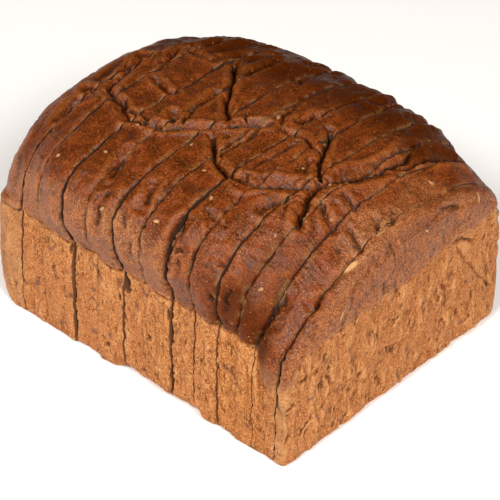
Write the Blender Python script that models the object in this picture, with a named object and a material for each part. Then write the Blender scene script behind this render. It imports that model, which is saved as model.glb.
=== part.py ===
"""A seeded tin loaf, sliced right through and still standing in its own shape.

The loaf lies along X and rests on Z = 0. Two heels and eleven slices stand in a row, each one
its own solid, with a thin saw cut between neighbours. Sizes are in millimetres and become
metres as each mesh is made. A place on the crust is given as (along, over): millimetres along
the loaf, and millimetres over the crust from the crown line, minus towards the front side.
"""
import math
import random
from typing import NamedTuple

import bmesh
import bpy
import numpy as np

MM = 0.001

# The tin and the dough in it
TIN_WIDTH = 120.0
RIM_HEIGHT = 48.0
LEFT_END = -75.6
RIGHT_END = 74.4
SIDE_BELLY = 1.7
MIDDLE = (-0.74, -0.74)

# The saw cuts: places along the loaf, the gap that all of them have, and two that gape in front
CUTS = (-59.9, -47.6, -31.6, -18.7, -5.5, 7.1, 18.9, 29.9, 41.3, 50.6, 58.8, 69.9)
SAW_GAP = 0.32
GAPING = {2: 1.2, 6: 1.3}

# Each slice stands a little to one side of its neighbours, by this much across the loaf
LEANS = (0.2, -0.3, 0.4, -0.2, 0.35, -0.4, 0.3, -0.25, 0.4, -0.3, 0.2)

# How finely each solid is drawn
CRUST_STEPS = 70
SIDE_STEPS = 4
CORNER_STEPS = 3
BASE_STEPS = 6
SLICE_STEPS = 3
END_TURNS = (0.0, 40.0, 68.0, 90.0)
WALL_SHARES = (0.84, 0.5)
WALL_MIDDLE = np.array([0.0, 36.0])

# Bottom edges: rounded by this much, and more where the dough did not fill the tin
EDGE_ROUND = 2.5
SLACK_ROUND = 7.0
SLACK_FROM = -12.0
SLACK_TO = 35.0

# Seeds that stand out of the crust
SEED_LENGTH = 3.6
SEED_WIDTH = 2.0
SEED_HEIGHT = 1.7
SEED_SINK = 0.25
SEEDS_A_SLICE = 3
SEED_CLEARANCE = 2.3

CRUST_COLOUR = (0.165, 0.045, 0.012, 1.0)
CRUST_ROUGHNESS = 0.45


class Shoulder(NamedTuple):
    """How far a shoulder reaches out, how high its widest level is, and how square it turns."""

    reach: float
    level: float
    square: float


class Station(NamedTuple):
    """The loaf's section at one place along it."""

    along: float
    crown: float
    front: Shoulder
    rear: Shoulder


class Fold(NamedTuple):
    """A crack or fold in the crust: its course, how wide and deep it is, and how high its lips are."""

    course: tuple
    width: float
    depth: float
    lip: float


STATIONS = (
    Station(-73, 82.2, Shoulder(56.5, 52, 2.1), Shoulder(57.0, 52, 2.0)),
    Station(-60, 85.2, Shoulder(60.0, 54, 2.3), Shoulder(61.0, 55, 2.2)),
    Station(-45, 87.4, Shoulder(64.0, 61, 2.7), Shoulder(63.8, 59, 2.4)),
    Station(-28, 88.4, Shoulder(67.3, 65, 3.0), Shoulder(65.3, 60, 2.4)),
    Station(-3, 88.8, Shoulder(66.5, 65, 3.0), Shoulder(65.2, 61, 2.5)),
    Station(20, 88.2, Shoulder(64.0, 63, 2.9), Shoulder(64.8, 62, 2.7)),
    Station(38, 87.0, Shoulder(63.0, 60, 2.6), Shoulder(63.8, 61, 2.6)),
    Station(50, 84.4, Shoulder(60.5, 51, 2.0), Shoulder(62.6, 58, 2.4)),
    Station(59, 80.5, Shoulder(60.0, 46, 1.6), Shoulder(61.0, 56, 2.3)),
    Station(70, 74.7, Shoulder(59.5, 40, 1.5), Shoulder(59.0, 53, 2.1)),
)

# The open cracks of the crown
CRACKS = (
    Fold(((-30, 26), (-19, 13), (-14, 5), (-7, -2), (-2, -7)), 1.8, 3.6, 0.7),
    Fold(((0, -18), (4, -23), (16, -29), (25, -29)), 1.8, 3.4, 0.7),
    Fold(((10, -25), (9, -13), (9, 1), (11, 7)), 1.5, 2.0, 0.5),
    Fold(((27, 15), (34, 3), (45, -10)), 1.8, 3.0, 0.7),
    Fold(((13, 3), (24, 5), (35, 2)), 1.5, 2.0, 0.5),
    Fold(((45, -10), (46, -18), (50, -29)), 2.6, 5.4, 0.9),
)

# The long valleys where the crust folded as the loaf sank
VALLEYS = (
    Fold(((-61, 9), (-56, -10), (-53, -20), (-62, -21)), 2.6, 2.8, 0.9),
    Fold(((-53, -20), (-40, -24), (-24, -28), (-13, -21), (2, -8), (9, 1)), 3.0, 2.4, 1.0),
    Fold(((25, -30), (36, -21), (45, -12)), 3.0, 2.2, 0.9),
    Fold(((45, -12), (52, 10), (54, 26), (52, 35)), 3.0, 3.0, 1.0),
    Fold(((54, 22), (57, 40), (59, 52)), 2.4, 1.8, 0.6),
)

# The creases of the shoulders
CREASES = (
    Fold(((-18, -44), (-18, -50), (-15, -57)), 2.6, 2.0, 0.4),
    Fold(((-12.5, -60), (-12.5, -72), (-13, -77)), 2.2, 1.5, 0.5),
    Fold(((0, -51), (2, -56), (3, -61)), 2.2, 1.7, 0.5),
    Fold(((6.5, -70), (7, -76)), 2.0, 1.9, 0.4),
    Fold(((20, -56), (20, -66), (19, -75)), 2.2, 1.7, 0.5),
    Fold(((39.5, -60), (39.5, -72), (39, -78)), 2.4, 1.5, 0.4),
    Fold(((60, -48), (59.5, -60), (58.8, -70)), 2.6, 2.4, 0.5),
    Fold(((50, -15), (59, -19)), 2.0, 1.3, 0.4),
    Fold(((62.5, -15), (69, -17)), 2.0, 1.3, 0.4),
    Fold(((-44, 48), (-38, 58), (-37, 70)), 2.6, 1.6, 0.5),
    Fold(((-12, 50), (-8, 62), (-9, 76)), 2.6, 1.7, 0.5),
    Fold(((24, 46), (26, 60), (22, 74)), 2.6, 1.6, 0.5),
)

# Pale seeds that lie open on the crust
SHOWN_SEEDS = (
    (56.6, -17.3), (66.9, -11.7), (65.1, 30.2), (47.6, -7.6), (47.8, -37.9),
    (11.0, -61.3), (-25.4, -31.4), (10.6, -34.1), (-3.0, -26.0),
)


def smooth_stations(along):
    """Read the section's seven numbers at each place, with the steps between stations eased."""
    places = np.array([station.along for station in STATIONS], dtype=float)
    rows = np.array([(station.crown, *station.front, *station.rear) for station in STATIONS])
    grid = np.arange(-95.0, 95.5, 1.0)
    easing = np.hanning(17)
    easing /= easing.sum()
    values = []
    for row in rows.T:
        held = np.pad(np.interp(grid, places, row), 8, mode="edge")
        values.append(np.interp(along, grid, np.convolve(held, easing, "valid")))
    return values


def half_crust(shoulder, crown, steps=90):
    """Trace one side from the rim out round the shoulder and up to the crown, as (out, up) rows."""
    rise = np.linspace(0.0, 1.0, 24, endpoint=False)[:, None]
    turn = np.linspace(0.0, math.pi / 2, steps)
    rim = min(shoulder.level, RIM_HEIGHT)
    out = shoulder.reach * np.cos(turn) ** (2 / shoulder.square)
    up = shoulder.level + (crown - shoulder.level) * np.sin(turn) ** (2 / shoulder.square)
    arch = np.column_stack([out, up])
    if shoulder.level <= RIM_HEIGHT + 1:
        return arch
    swell = TIN_WIDTH / 2 + (shoulder.reach - TIN_WIDTH / 2) * np.sin(rise * math.pi / 2) ** 0.9
    return np.vstack([np.hstack([swell, rim + (shoulder.level - rim) * rise]), arch])


def bottom_round(along):
    """The radius of the front bottom edge, wider where the dough did not fill the tin."""
    into = np.clip((along - SLACK_FROM) / 6.0, 0.0, 1.0)
    out_of = np.clip((SLACK_TO - along) / 4.0, 0.0, 1.0)
    share = np.sin(into * math.pi / 2) * np.sin(out_of * math.pi / 2)
    return EDGE_ROUND + (SLACK_ROUND - EDGE_ROUND) * share


def section(along):
    """Trace the closed section at one place: (across, up) rows and each row's place over the crust.

    The rows start at the front rim, go over the crown to the rear rim, and come back under.
    """
    crown, *numbers = smooth_stations(along)
    front = half_crust(Shoulder(*numbers[:3]), crown)
    rear = half_crust(Shoulder(*numbers[3:]), crown)
    crust = np.vstack([front * (-1, 1), rear[::-1][1:]])
    walked = np.concatenate([[0.0], np.cumsum(np.hypot(*np.diff(crust, axis=0).T))])
    crown_walk = walked[len(front) - 1]
    shares = np.linspace(0.0, walked[-1], CRUST_STEPS + 1)
    top = np.column_stack([np.interp(shares, walked, crust[:, k]) for k in (0, 1)])

    rear_side = side_and_corner(rear[0, 1], EDGE_ROUND)
    front_side = side_and_corner(front[0, 1], float(bottom_round(along)))[::-1] * (-1, 1)
    base = np.linspace(rear_side[-1], front_side[0], BASE_STEPS + 1)[1:-1]
    ring = np.vstack([top, rear_side, base, front_side])
    over = np.empty(len(ring))
    over[:len(top)] = shares - crown_walk
    over[len(top):] = np.where(ring[len(top):, 0] > 0, 1.0, -1.0) * 130.0
    return ring, over


def side_and_corner(rim, radius):
    """Trace the tin side down from below the rim, then the rounded bottom edge."""
    heights = np.linspace(rim, radius, SIDE_STEPS + 1)[1:]
    belly = SIDE_BELLY * np.sin(np.clip((rim - heights) / 24.0, 0.0, 1.0) * math.pi / 2)
    side = np.column_stack([TIN_WIDTH / 2 + belly, heights])
    turn = np.radians(np.linspace(0.0, 90.0, CORNER_STEPS + 1)[1:])
    corner = np.column_stack([
        TIN_WIDTH / 2 + belly[-1] - radius * (1 - np.cos(turn)),
        radius * (1 - np.sin(turn)),
    ])
    return np.vstack([side, corner])


def distance_to_course(points, course):
    """Distance in the crust's own plane from each point to a course of straight stretches."""
    nearest = np.full(len(points), 1e9)
    stops = np.array(course, dtype=float)
    for start, stop in zip(stops[:-1], stops[1:]):
        run = stop - start
        share = np.clip((points - start) @ run / (run @ run), 0.0, 1.0)
        gap = np.linalg.norm(points - start - share[:, None] * run, axis=1)
        nearest = np.minimum(nearest, gap)
    return nearest


def relief(along, over):
    """How far the crust stands out or dips in at each place, in millimetres."""
    points = np.column_stack([along, over])
    rise = 0.45 * np.sin(along / 6.1 + over / 9.7) * np.sin(over / 7.3 - along / 11.0 + 1.1)
    rise += 0.35 * np.sin(along / 3.9 - over / 14.0 + 0.6) * np.sin(over / 12.0 + 2.0)
    dip = np.zeros(len(points))
    lip = np.zeros(len(points))
    for fold in CRACKS + VALLEYS + CREASES:
        gap = distance_to_course(points, fold.course) / fold.width
        dip = np.maximum(dip, fold.depth * np.exp(-gap ** 2))
        lip = np.maximum(lip, fold.lip * np.exp(-((gap - 2.0) / 0.8) ** 2))
    return np.where(np.abs(over) < 120.0, rise + lip - dip, 0.0)


def outward(ring):
    """Unit normals of a closed section, pointing out of the loaf."""
    run = np.roll(ring, -1, axis=0) - np.roll(ring, 1, axis=0)
    normals = np.column_stack([-run[:, 1], run[:, 0]])
    return normals / np.linalg.norm(normals, axis=1)[:, None]


def crusted_ring(along, row_along):
    """A section with its relief pressed in, as (across, up) rows."""
    ring, over = section(along)
    ring = ring + outward(ring) * relief(row_along, over)[:, None]
    return np.column_stack([ring[:, 0], np.maximum(ring[:, 1], 0.0)])


def drawn_in(ring, draw):
    """The section with each row drawn some way towards the middle of the end wall."""
    spoke = ring - WALL_MIDDLE
    reach = np.linalg.norm(spoke, axis=1)
    return WALL_MIDDLE + spoke * (1 - draw / reach)[:, None]


def cut_face(cut, side, across):
    """Places along the loaf of a cut's face at each row; the gaping cuts open to the front."""
    gape = GAPING.get(cut, 0.0) * np.clip((TIN_WIDTH / 2 - across) / TIN_WIDTH, 0.0, 1.1)
    return CUTS[cut] + side * (SAW_GAP / 2 + gape / 2)


def add_ring(mesh, along, ring):
    """Add one section's points to the mesh, moved so that the whole loaf is centred."""
    return [
        mesh.verts.new(((x - MIDDLE[0]) * MM, (y - MIDDLE[1]) * MM, z * MM))
        for x, (y, z) in zip(along, ring)
    ]


def join_rings(mesh, rings):
    """Close the loft between neighbouring sections."""
    for low, high in zip(rings[:-1], rings[1:]):
        for k in range(len(low)):
            after = (k + 1) % len(low)
            mesh.faces.new((low[k], low[after], high[after], high[k]))


def slice_mesh(number):
    """Loft the slice that stands between two cuts."""
    mesh = bmesh.new()
    low_face = cut_face(number, 1, section(CUTS[number])[0][:, 0])
    high_face = cut_face(number + 1, -1, section(CUTS[number + 1])[0][:, 0])
    rings = []
    for share in np.linspace(0.0, 1.0, SLICE_STEPS + 1):
        along = low_face + (high_face - low_face) * share
        middle = CUTS[number] + (CUTS[number + 1] - CUTS[number]) * share
        ring = crusted_ring(middle, along) + (LEANS[number], 0.0)
        if 0.0 < share < 1.0:
            rings.append(add_ring(mesh, along, ring))
            continue
        cut, side = (number, 1) if share == 0.0 else (number + 1, -1)
        rings.append(add_ring(mesh, cut_face(cut, side, ring[:, 0]), ring))
    join_rings(mesh, rings)
    mesh.faces.new(rings[0])
    mesh.faces.new(rings[-1])
    return mesh


def end_rounding(ring, side):
    """How far each row of a heel draws in, and how long its rounding is along the loaf."""
    crust = np.clip((ring[:, 1] - RIM_HEIGHT + 5.0) / 18.0, 0.0, 1.0)
    if side < 0:
        return 5.5 + 4.5 * crust, 7.5 + 5.5 * crust
    return 2.0 + 4.5 * crust, 2.2 + 1.1 * crust


def heel_mesh(side):
    """Loft a heel from its cut face to its rounded end wall; side is -1 for left, 1 for right."""
    mesh = bmesh.new()
    cut = 0 if side < 0 else len(CUTS) - 1
    end = LEFT_END if side < 0 else RIGHT_END
    plain, over = section(CUTS[cut])
    ring = crusted_ring(CUTS[cut], np.full(len(plain), CUTS[cut]))
    rings = [add_ring(mesh, cut_face(cut, side, ring[:, 0]), ring)]
    draw, length = end_rounding(plain, side)
    for turn in END_TURNS:
        lean = math.radians(turn)
        along = end - side * length * (1 - math.sin(lean))
        ring = drawn_in(crusted_ring(float(np.mean(along)), along), draw * (1 - math.cos(lean)))
        rings.append(add_ring(mesh, along, ring))
    for share in WALL_SHARES:
        inner = WALL_MIDDLE + (ring - WALL_MIDDLE) * share
        swell = side * (1.2 * (1 - share ** 2) + 0.9 * np.clip((inner[:, 1] - 50) / 6, 0, 1))
        rings.append(add_ring(mesh, end + swell, inner))
    join_rings(mesh, rings)
    mesh.faces.new(rings[0])
    last = mesh.faces.new(rings[-1])
    bmesh.ops.poke(mesh, faces=[last])
    return mesh


def crust_material(name, shade):
    """Dark baked crust, a little lighter or darker from slice to slice."""
    material = bpy.data.materials.new(name)
    material.use_nodes = True
    shader = material.node_tree.nodes["Principled BSDF"]
    red, green, blue, alpha = CRUST_COLOUR
    shader.inputs["Base Color"].default_value = (red * shade, green * shade, blue * shade, alpha)
    shader.inputs["Roughness"].default_value = CRUST_ROUGHNESS
    shader.inputs["Metallic"].default_value = 0.0
    return material


def finish(mesh, name, collection, shade):
    """Turn the loft into a named object with outward faces and its own crust material."""
    bmesh.ops.recalc_face_normals(mesh, faces=mesh.faces)
    data = bpy.data.meshes.new(name)
    mesh.to_mesh(data)
    mesh.free()
    data.shade_smooth()
    data.materials.append(crust_material(name + "_crust", shade))
    part = bpy.data.objects.new(name, data)
    collection.objects.link(part)
    return part


def place_on_crust(along, over):
    """The point on the crust at a place, and the way out of it, both in loaf millimetres."""
    ring, walk = section(along)
    top = slice(0, CRUST_STEPS + 1)
    normals = outward(ring)[top]
    rise = relief(np.full(CRUST_STEPS + 1, along), walk[top])
    skin = ring[top] + normals * rise[:, None]
    y, z = (np.interp(over, walk[top], skin[:, k]) for k in (0, 1))
    ny, nz = (np.interp(over, walk[top], normals[:, k]) for k in (0, 1))
    return (along, y, z), (0.0, ny, nz)


def seed_places(number, chance):
    """Where one slice's seeds lie: those that show, then a few more spread by chance."""
    low, high = CUTS[number] + SEED_CLEARANCE, CUTS[number + 1] - SEED_CLEARANCE
    places = [place for place in SHOWN_SEEDS if low <= place[0] <= high]
    while len(places) < SEEDS_A_SLICE + 1:
        place = (chance.uniform(low, high), chance.uniform(-78.0, 78.0))
        if all(math.dist(place, other) > 9.0 for other in places):
            places.append(place)
    return places


def add_seed(place, turn, size, holder):
    """A flattened seed, half sunk in the crust."""
    (x, y, z), (_, ny, nz) = place_on_crust(*place)
    y, z = y - ny * SEED_SINK, z - nz * SEED_SINK
    bpy.ops.mesh.primitive_uv_sphere_add(segments=6, ring_count=4, radius=0.5)
    seed = bpy.context.object
    seed.scale = (SEED_LENGTH * size * MM, SEED_WIDTH * size * MM, SEED_HEIGHT * size * MM)
    seed.rotation_mode = "XYZ"
    seed.rotation_euler = (math.atan2(-ny, nz), 0.0, turn)
    seed.location = ((x - MIDDLE[0]) * MM, (y - MIDDLE[1]) * MM, z * MM)
    for other in list(seed.users_collection):
        other.objects.unlink(seed)
    holder.objects.link(seed)


def fuse_seeds(part, number, chance):
    """Unite one slice with its seeds, largest first, and drop the loose seeds."""
    holder = bpy.data.collections.new("seeds")
    bpy.context.scene.collection.children.link(holder)
    sizes = sorted((chance.uniform(0.75, 1.1) for _ in range(12)), reverse=True)
    for place, size in zip(seed_places(number, chance), sizes):
        add_seed(place, chance.uniform(-0.6, 0.6), size, holder)
    union = part.modifiers.new("seeds", "BOOLEAN")
    union.operation = "UNION"
    union.operand_type = "COLLECTION"
    union.collection = holder
    union.solver = "EXACT"
    fused = part.evaluated_get(bpy.context.evaluated_depsgraph_get())
    plain = part.data
    part.data = bpy.data.meshes.new_from_object(fused)
    part.modifiers.clear()
    part.data.name = plain.name
    bpy.data.meshes.remove(plain)
    for seed in list(holder.objects):
        bpy.data.objects.remove(seed)
    bpy.data.collections.remove(holder)


def main():
    """Build the loaf's thirteen pieces."""
    for old in list(bpy.data.objects):
        bpy.data.objects.remove(old)
    loaf = bpy.data.collections.new("seeded_bread")
    bpy.context.scene.collection.children.link(loaf)
    chance = random.Random(11)
    finish(heel_mesh(-1), "heel_left", loaf, 1.0)
    for number in range(len(CUTS) - 1):
        name = f"slice_{number + 1:02d}"
        part = finish(slice_mesh(number), name, loaf, chance.uniform(0.9, 1.1))
        fuse_seeds(part, number, chance)
    finish(heel_mesh(1), "heel_right", loaf, 1.0)


main()
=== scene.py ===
"""Seeded tin loaf, sliced right through and standing whole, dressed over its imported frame.

The loaf lies along X and rests on Z = 0. Each heel and slice of the frame is replaced by a
closely modelled piece: dark wrinkled crust over tan tin sides, with the crumb on its cut faces.
A place on the crust is (along, over): millimetres along the loaf, and millimetres over the
crust from the crown line, minus towards the front. Sizes are in millimetres until a mesh is
made, and the loaf's own numbers are measured from a point MIDDLE away from the frame's origin.
"""
import logging
import math
from dataclasses import dataclass, field, fields
from enum import Enum
from itertools import product

import bmesh
import bpy
import numpy as np
from mathutils import Matrix, Vector
from mathutils.bvhtree import BVHTree


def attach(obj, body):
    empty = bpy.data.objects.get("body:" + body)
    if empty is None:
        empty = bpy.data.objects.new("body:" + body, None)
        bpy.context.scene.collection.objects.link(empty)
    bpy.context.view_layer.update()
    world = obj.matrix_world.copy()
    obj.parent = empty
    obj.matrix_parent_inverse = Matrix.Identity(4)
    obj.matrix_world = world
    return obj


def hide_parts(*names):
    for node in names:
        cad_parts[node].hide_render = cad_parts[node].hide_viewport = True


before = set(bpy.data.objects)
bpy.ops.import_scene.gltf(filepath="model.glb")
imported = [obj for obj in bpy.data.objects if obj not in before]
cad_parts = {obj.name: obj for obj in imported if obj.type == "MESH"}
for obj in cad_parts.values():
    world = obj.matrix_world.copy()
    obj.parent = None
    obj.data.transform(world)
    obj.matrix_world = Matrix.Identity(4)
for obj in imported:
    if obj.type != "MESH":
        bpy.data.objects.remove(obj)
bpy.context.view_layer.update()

log = logging.getLogger("loaf")

MM = 0.001
BODY = "root"

# The tin and the dough in it
TIN_WIDTH = 120.0
RIM_HEIGHT = 48.0
LEFT_END = -75.6
RIGHT_END = 74.4
SIDE_BELLY = 1.7
MIDDLE = np.array([-0.74, -0.74, 0.0])
WALL_MIDDLE = np.array([0.0, 36.0])

# The saw cuts along the loaf, how wide each is, and how much some gape in front
CUTS = (-59.9, -47.6, -31.6, -18.7, -5.5, 7.1, 18.9, 29.9, 41.3, 50.6, 58.8, 69.9)
SAW_GAPS = (0.26, 0.20, 0.32, 0.12, 0.16, 0.14, 0.32, 0.36, 0.16, 0.14, 0.14, 0.28)
GAPING = {2: 0.40, 6: 0.50, 11: 0.15}
DOME_GAP = 0.5
CLOSED = {0: (-160.0, -113.0), 1: (-112.0, -92.0), 11: (-12.0, 80.0)}
LEANS = (0.3, -0.3, 0.5, -0.3, 0.45, -0.5, 0.2, 0.1, 0.6, -0.1, 0.1)

# How worn the edges of each cut are, as a share, and how thick the rind is that a cut shows
WORN = (0.6, 0.7, 0.9, 0.6, 0.8, 0.45, 0.9, 0.6, 0.7, 0.6, 0.6, 0.8)
RIND = 3.0

# Heights over the crust line between which the tan skin passes into the crust
CRUST_EDGE = (-0.35, 0.9)

# More than the vertices of any one piece, to number its edges and faces by their corners
MOST_CORNERS = 1_000_000

# Bottom edges: rounded by this much, and more where the dough did not fill the tin
EDGE_ROUND = 2.5
SLACK_ROUND = 7.0
SLACK_FROM = -12.0
SLACK_TO = 35.0


class End(Enum):
    """An end of the loaf: which way it points along X."""

    LEFT = -1
    RIGHT = 1


class Skin(Enum):
    """The kinds of surface that a piece of the loaf has."""

    CRUST = 0
    CRUMB = 1
    RIND = 2


@dataclass(frozen=True)
class Shoulder:
    """How far a shoulder reaches out, how high its widest level is, and how square it turns."""

    reach: float
    level: float
    square: float


@dataclass(frozen=True)
class Station:
    """The loaf's section at one place along it."""

    along: float
    crown: float
    front: Shoulder
    rear: Shoulder

    def numbers(self) -> tuple[float, ...]:
        """Return the station's seven sizes in a row."""
        sides = (self.front, self.rear)
        return (self.crown, *(n for s in sides for n in (s.reach, s.level, s.square)))


@dataclass(frozen=True)
class Fold:
    """A crack or crease in the crust: its course, half width, depth, lips and pleats across it."""

    course: tuple[tuple[float, float], ...]
    width: float
    depth: float
    lip: float = 0.3
    pleat: float = 0.0


@dataclass(frozen=True)
class Spot:
    """A dent, pore or covered seed on the skin: its place, half lengths, turn and depth."""

    place: tuple[float, float]
    length: float
    width: float
    turn: float
    depth: float


STATIONS = (
    Station(-73, 82.2, Shoulder(56.5, 52, 2.1), Shoulder(57.0, 52, 2.0)),
    Station(-60, 85.2, Shoulder(60.0, 54, 2.3), Shoulder(61.0, 55, 2.2)),
    Station(-45, 87.4, Shoulder(64.0, 61, 2.7), Shoulder(63.8, 59, 2.4)),
    Station(-28, 88.4, Shoulder(67.3, 65, 3.0), Shoulder(65.3, 60, 2.4)),
    Station(-3, 88.8, Shoulder(66.5, 65, 3.0), Shoulder(65.2, 61, 2.5)),
    Station(20, 88.2, Shoulder(64.0, 63, 2.9), Shoulder(64.8, 62, 2.7)),
    Station(38, 87.0, Shoulder(63.0, 60, 2.6), Shoulder(63.8, 61, 2.6)),
    Station(50, 84.4, Shoulder(60.5, 51, 2.0), Shoulder(62.6, 58, 2.4)),
    Station(59, 80.5, Shoulder(60.0, 46, 1.6), Shoulder(61.0, 56, 2.3)),
    Station(70, 74.7, Shoulder(59.5, 40, 1.5), Shoulder(59.0, 53, 2.1)),
)

# The open cracks of the crown, dark and narrow between rolled lips
CRACKS = (
    Fold(((-30, 26), (-19, 13), (-14, 5), (-7, -2), (-6, -4.4), (-2, -7)), 0.9, 4.2, 0.8),
    Fold(((-2, 0), (3, -2.5)), 0.7, 1.6, 0.4),
    Fold(((0, -18), (4, -23), (9, -26.5), (16.5, -29), (20, -29.6), (25.6, -29)), 0.9, 4.0, 0.8, 0.1),
    Fold(((23.5, -25), (26.4, -29)), 0.8, 2.4, 0.4),
    Fold(((10.5, -25), (9, -21), (8.6, -13), (9.2, -5), (9.4, 1), (11.2, 7)), 0.8, 1.8, 0.5),
    Fold(((26.7, 15.5), (32.4, 8), (34.5, 2.8), (40, -4.8), (45, -9.7)), 0.9, 3.6, 0.8),
    Fold(((13.3, 3), (18, 4.5), (24.2, 5), (27.7, 3), (35, 2)), 0.8, 2.2, 0.6),
    Fold(((45.4, -9), (44.8, -14), (45.5, -18), (47.5, -22.3), (50, -28.2)), 1.3, 6.0, 0.9, 0.28),
    Fold(((12.6, 4.6), (9.6, 11.8), (7.8, 19.6)), 0.7, 1.3, 0.4),
    Fold(((-5.8, 34.8), (-0.3, 30.1)), 0.7, 1.3, 0.3),
    Fold(((-28.1, -26), (-24.3, -28)), 0.9, 3.4, 0.6),
    Fold(((-42.9, -21), (-37.4, -24.8)), 0.9, 3.2, 0.6),
    Fold(((-57.5, -11), (-55.4, -16), (-54, -19)), 1.3, 5.0, 0.9),
    Fold(((18.9, -85), (18.7, -92)), 1.2, 3.2, 0.5),
    Fold(((41.4, -80), (41.6, -88)), 1.3, 3.4, 0.5),
    Fold(((22.9, -23.4), (22.8, -14), (23.8, -6), (24.7, 2.5)), 0.7, 1.2, 0.4),
    Fold(((-14, -19.7), (-16, -14.8), (-18.4, -4.8), (-19.4, 3.7), (-17.9, 9.7)), 0.7, 1.2, 0.5),
)

# The long valleys where the crust folded as the loaf sank, with the roll on one side higher
VALLEYS = (
    Fold(((-61, 9), (-56.4, -8), (-53, -20), (-62, -21)), 1.6, 3.4, 1.2),
    Fold(((-60.5, -37.7), (-61.3, -31), (-58.6, -25), (-51.6, -21.5)), 2.0, 1.6, 0.7),
    Fold(((-53, -20), (-40, -24), (-31.7, -29), (-24, -28.4), (-18, -25.6), (-13.7, -21),
          (-8.4, -17), (-2.5, -14), (1, -8.8), (4, -3), (9.4, 1)), 1.3, 3.0, 1.3, 0.06),
    Fold(((25, -29.9), (30.3, -26.4), (35.7, -21), (41, -16.3), (45, -12.8)), 2.2, 2.6, 1.0),
    Fold(((45, -13), (47.6, -2.6), (52, 10), (54.2, 20.6), (53.8, 27), (51.7, 35)), 2.4, 3.2, 1.2),
    Fold(((54.3, 21.5), (56.4, 24), (56.6, 39.5), (58.6, 51.6)), 1.9, 2.0, 0.8),
)

# The creases of the shoulders, soft hollows that mostly run with the slices
CREASES = (
    Fold(((-17.6, -44), (-17.7, -49), (-15.5, -56.5)), 2.4, 2.1, 0.5),
    Fold(((-12.5, -60), (-11, -64.5)), 1.5, 1.5, 0.5),
    Fold(((-12.5, -65.7), (-12.5, -72), (-13.3, -77)), 1.5, 1.6, 0.7),
    Fold(((0.2, -50.8), (2, -56), (2.7, -60)), 1.5, 1.8, 0.6),
    Fold(((6.5, -70.5), (7.3, -76)), 1.1, 2.2, 0.4),
    Fold(((-1.6, -65.4), (-0.5, -71)), 1.2, 1.4, 0.5),
    Fold(((3.4, -73.7), (2.2, -82.4)), 1.2, 1.2, 0.4),
    Fold(((20.8, -68), (25.5, -64.8)), 1.0, 1.4, 0.5),
    Fold(((24.4, -67.9), (24.4, -72.8)), 1.1, 1.3, 0.4),
    Fold(((39.6, -73), (38.9, -77.7)), 1.0, 2.2, 0.4),
    Fold(((39.2, -62.5), (40.5, -58.5)), 2.2, 1.2, 0.3),
    Fold(((20.4, -55.7), (20, -65.8), (19, -75)), 1.6, 1.9, 0.6),
    Fold(((25.8, -48.5), (29.5, -50)), 1.3, 1.2, 0.5),
    Fold(((38.5, -34.6), (39.6, -30), (42, -25)), 1.1, 1.4, 0.6),
    Fold(((44, -30), (43.4, -25), (44.6, -20)), 0.8, 0.9, 0.4),
    Fold(((41.5, -28), (42.0, -22), (43.8, -16)), 0.8, 0.8, 0.4),
    Fold(((-42.3, -4), (-35.3, -5.7), (-30, -6.7)), 0.9, 2.0, 0.9),
    Fold(((-52, 21), (-43.7, 20), (-35.8, 20.2)), 0.9, 2.0, 0.9),
    Fold(((-50, 7.6), (-53.2, 20), (-47.8, 27), (-47, 37)), 1.1, 2.2, 0.9),
    Fold(((-35.7, 21), (-35, 28), (-32.3, 36.8), (-24.4, 43)), 1.0, 2.0, 0.9),
    Fold(((-20, 19.4), (-21, 29), (-20.3, 38.3)), 0.9, 1.7, 0.8),
    Fold(((-21, -17.7), (-17, -21.5)), 1.1, 2.2, 1.0),
    Fold(((-36.8, -24.5), (-30.3, -24.7), (-24.5, -26)), 1.0, 1.8, 0.8),
    Fold(((16.2, 12), (16.8, 19), (21, 22)), 1.0, 1.8, 0.8),
    Fold(((35.9, -10), (35.4, -5), (36, 0)), 1.2, 1.0, 0.6),
    Fold(((50, -15), (54, -17.6), (58.8, -19.4)), 0.8, 1.3, 0.6),
    Fold(((52.5, -7), (59.4, -6.3)), 0.8, 1.2, 0.6),
    Fold(((62.5, -14.8), (69.2, -16.8)), 0.7, 1.2, 0.5),
    Fold(((62.8, -22), (65, -25)), 1.3, 1.0, 0.4),
    Fold(((65.8, -3.8), (69.4, -6)), 0.8, 1.5, 0.6),
    Fold(((67.9, 3.6), (70.2, 0)), 0.8, 1.5, 0.6),
    Fold(((56.5, 20), (58.8, 17.8)), 1.2, 1.6, 0.4),
    Fold(((46.2, -63.5), (45, -69), (44.6, -76)), 1.6, 1.3, 0.5),
    Fold(((60, -47.7), (60, -57.7), (59, -63), (58.8, -70)), 2.4, 2.6, 0.5),
    Fold(((45.7, -83), (48.3, -82)), 1.2, 1.8, 0.2),
    Fold(((69, -44.7), (71.3, -41)), 1.3, 1.8, 0.4),
    Fold(((-44, 48), (-38, 58), (-37, 70)), 1.9, 1.6, 0.6),
    Fold(((-12, 50), (-8, 62), (-9, 76)), 1.9, 1.7, 0.6),
    Fold(((24, 46), (26, 60), (22, 74)), 1.9, 1.6, 0.6),
    Fold(((38, 50), (41, 60), (36, 72)), 1.5, 1.4, 0.5),
    Fold(((-30, 60), (-26, 66), (-28, 80)), 1.3, 1.3, 0.5),
    Fold(((6, 56), (3, 66), (5, 74)), 1.3, 1.3, 0.5),
    Fold(((-63, 40), (-55, 52), (-54, 62)), 1.7, 1.4, 0.5),
)

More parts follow.
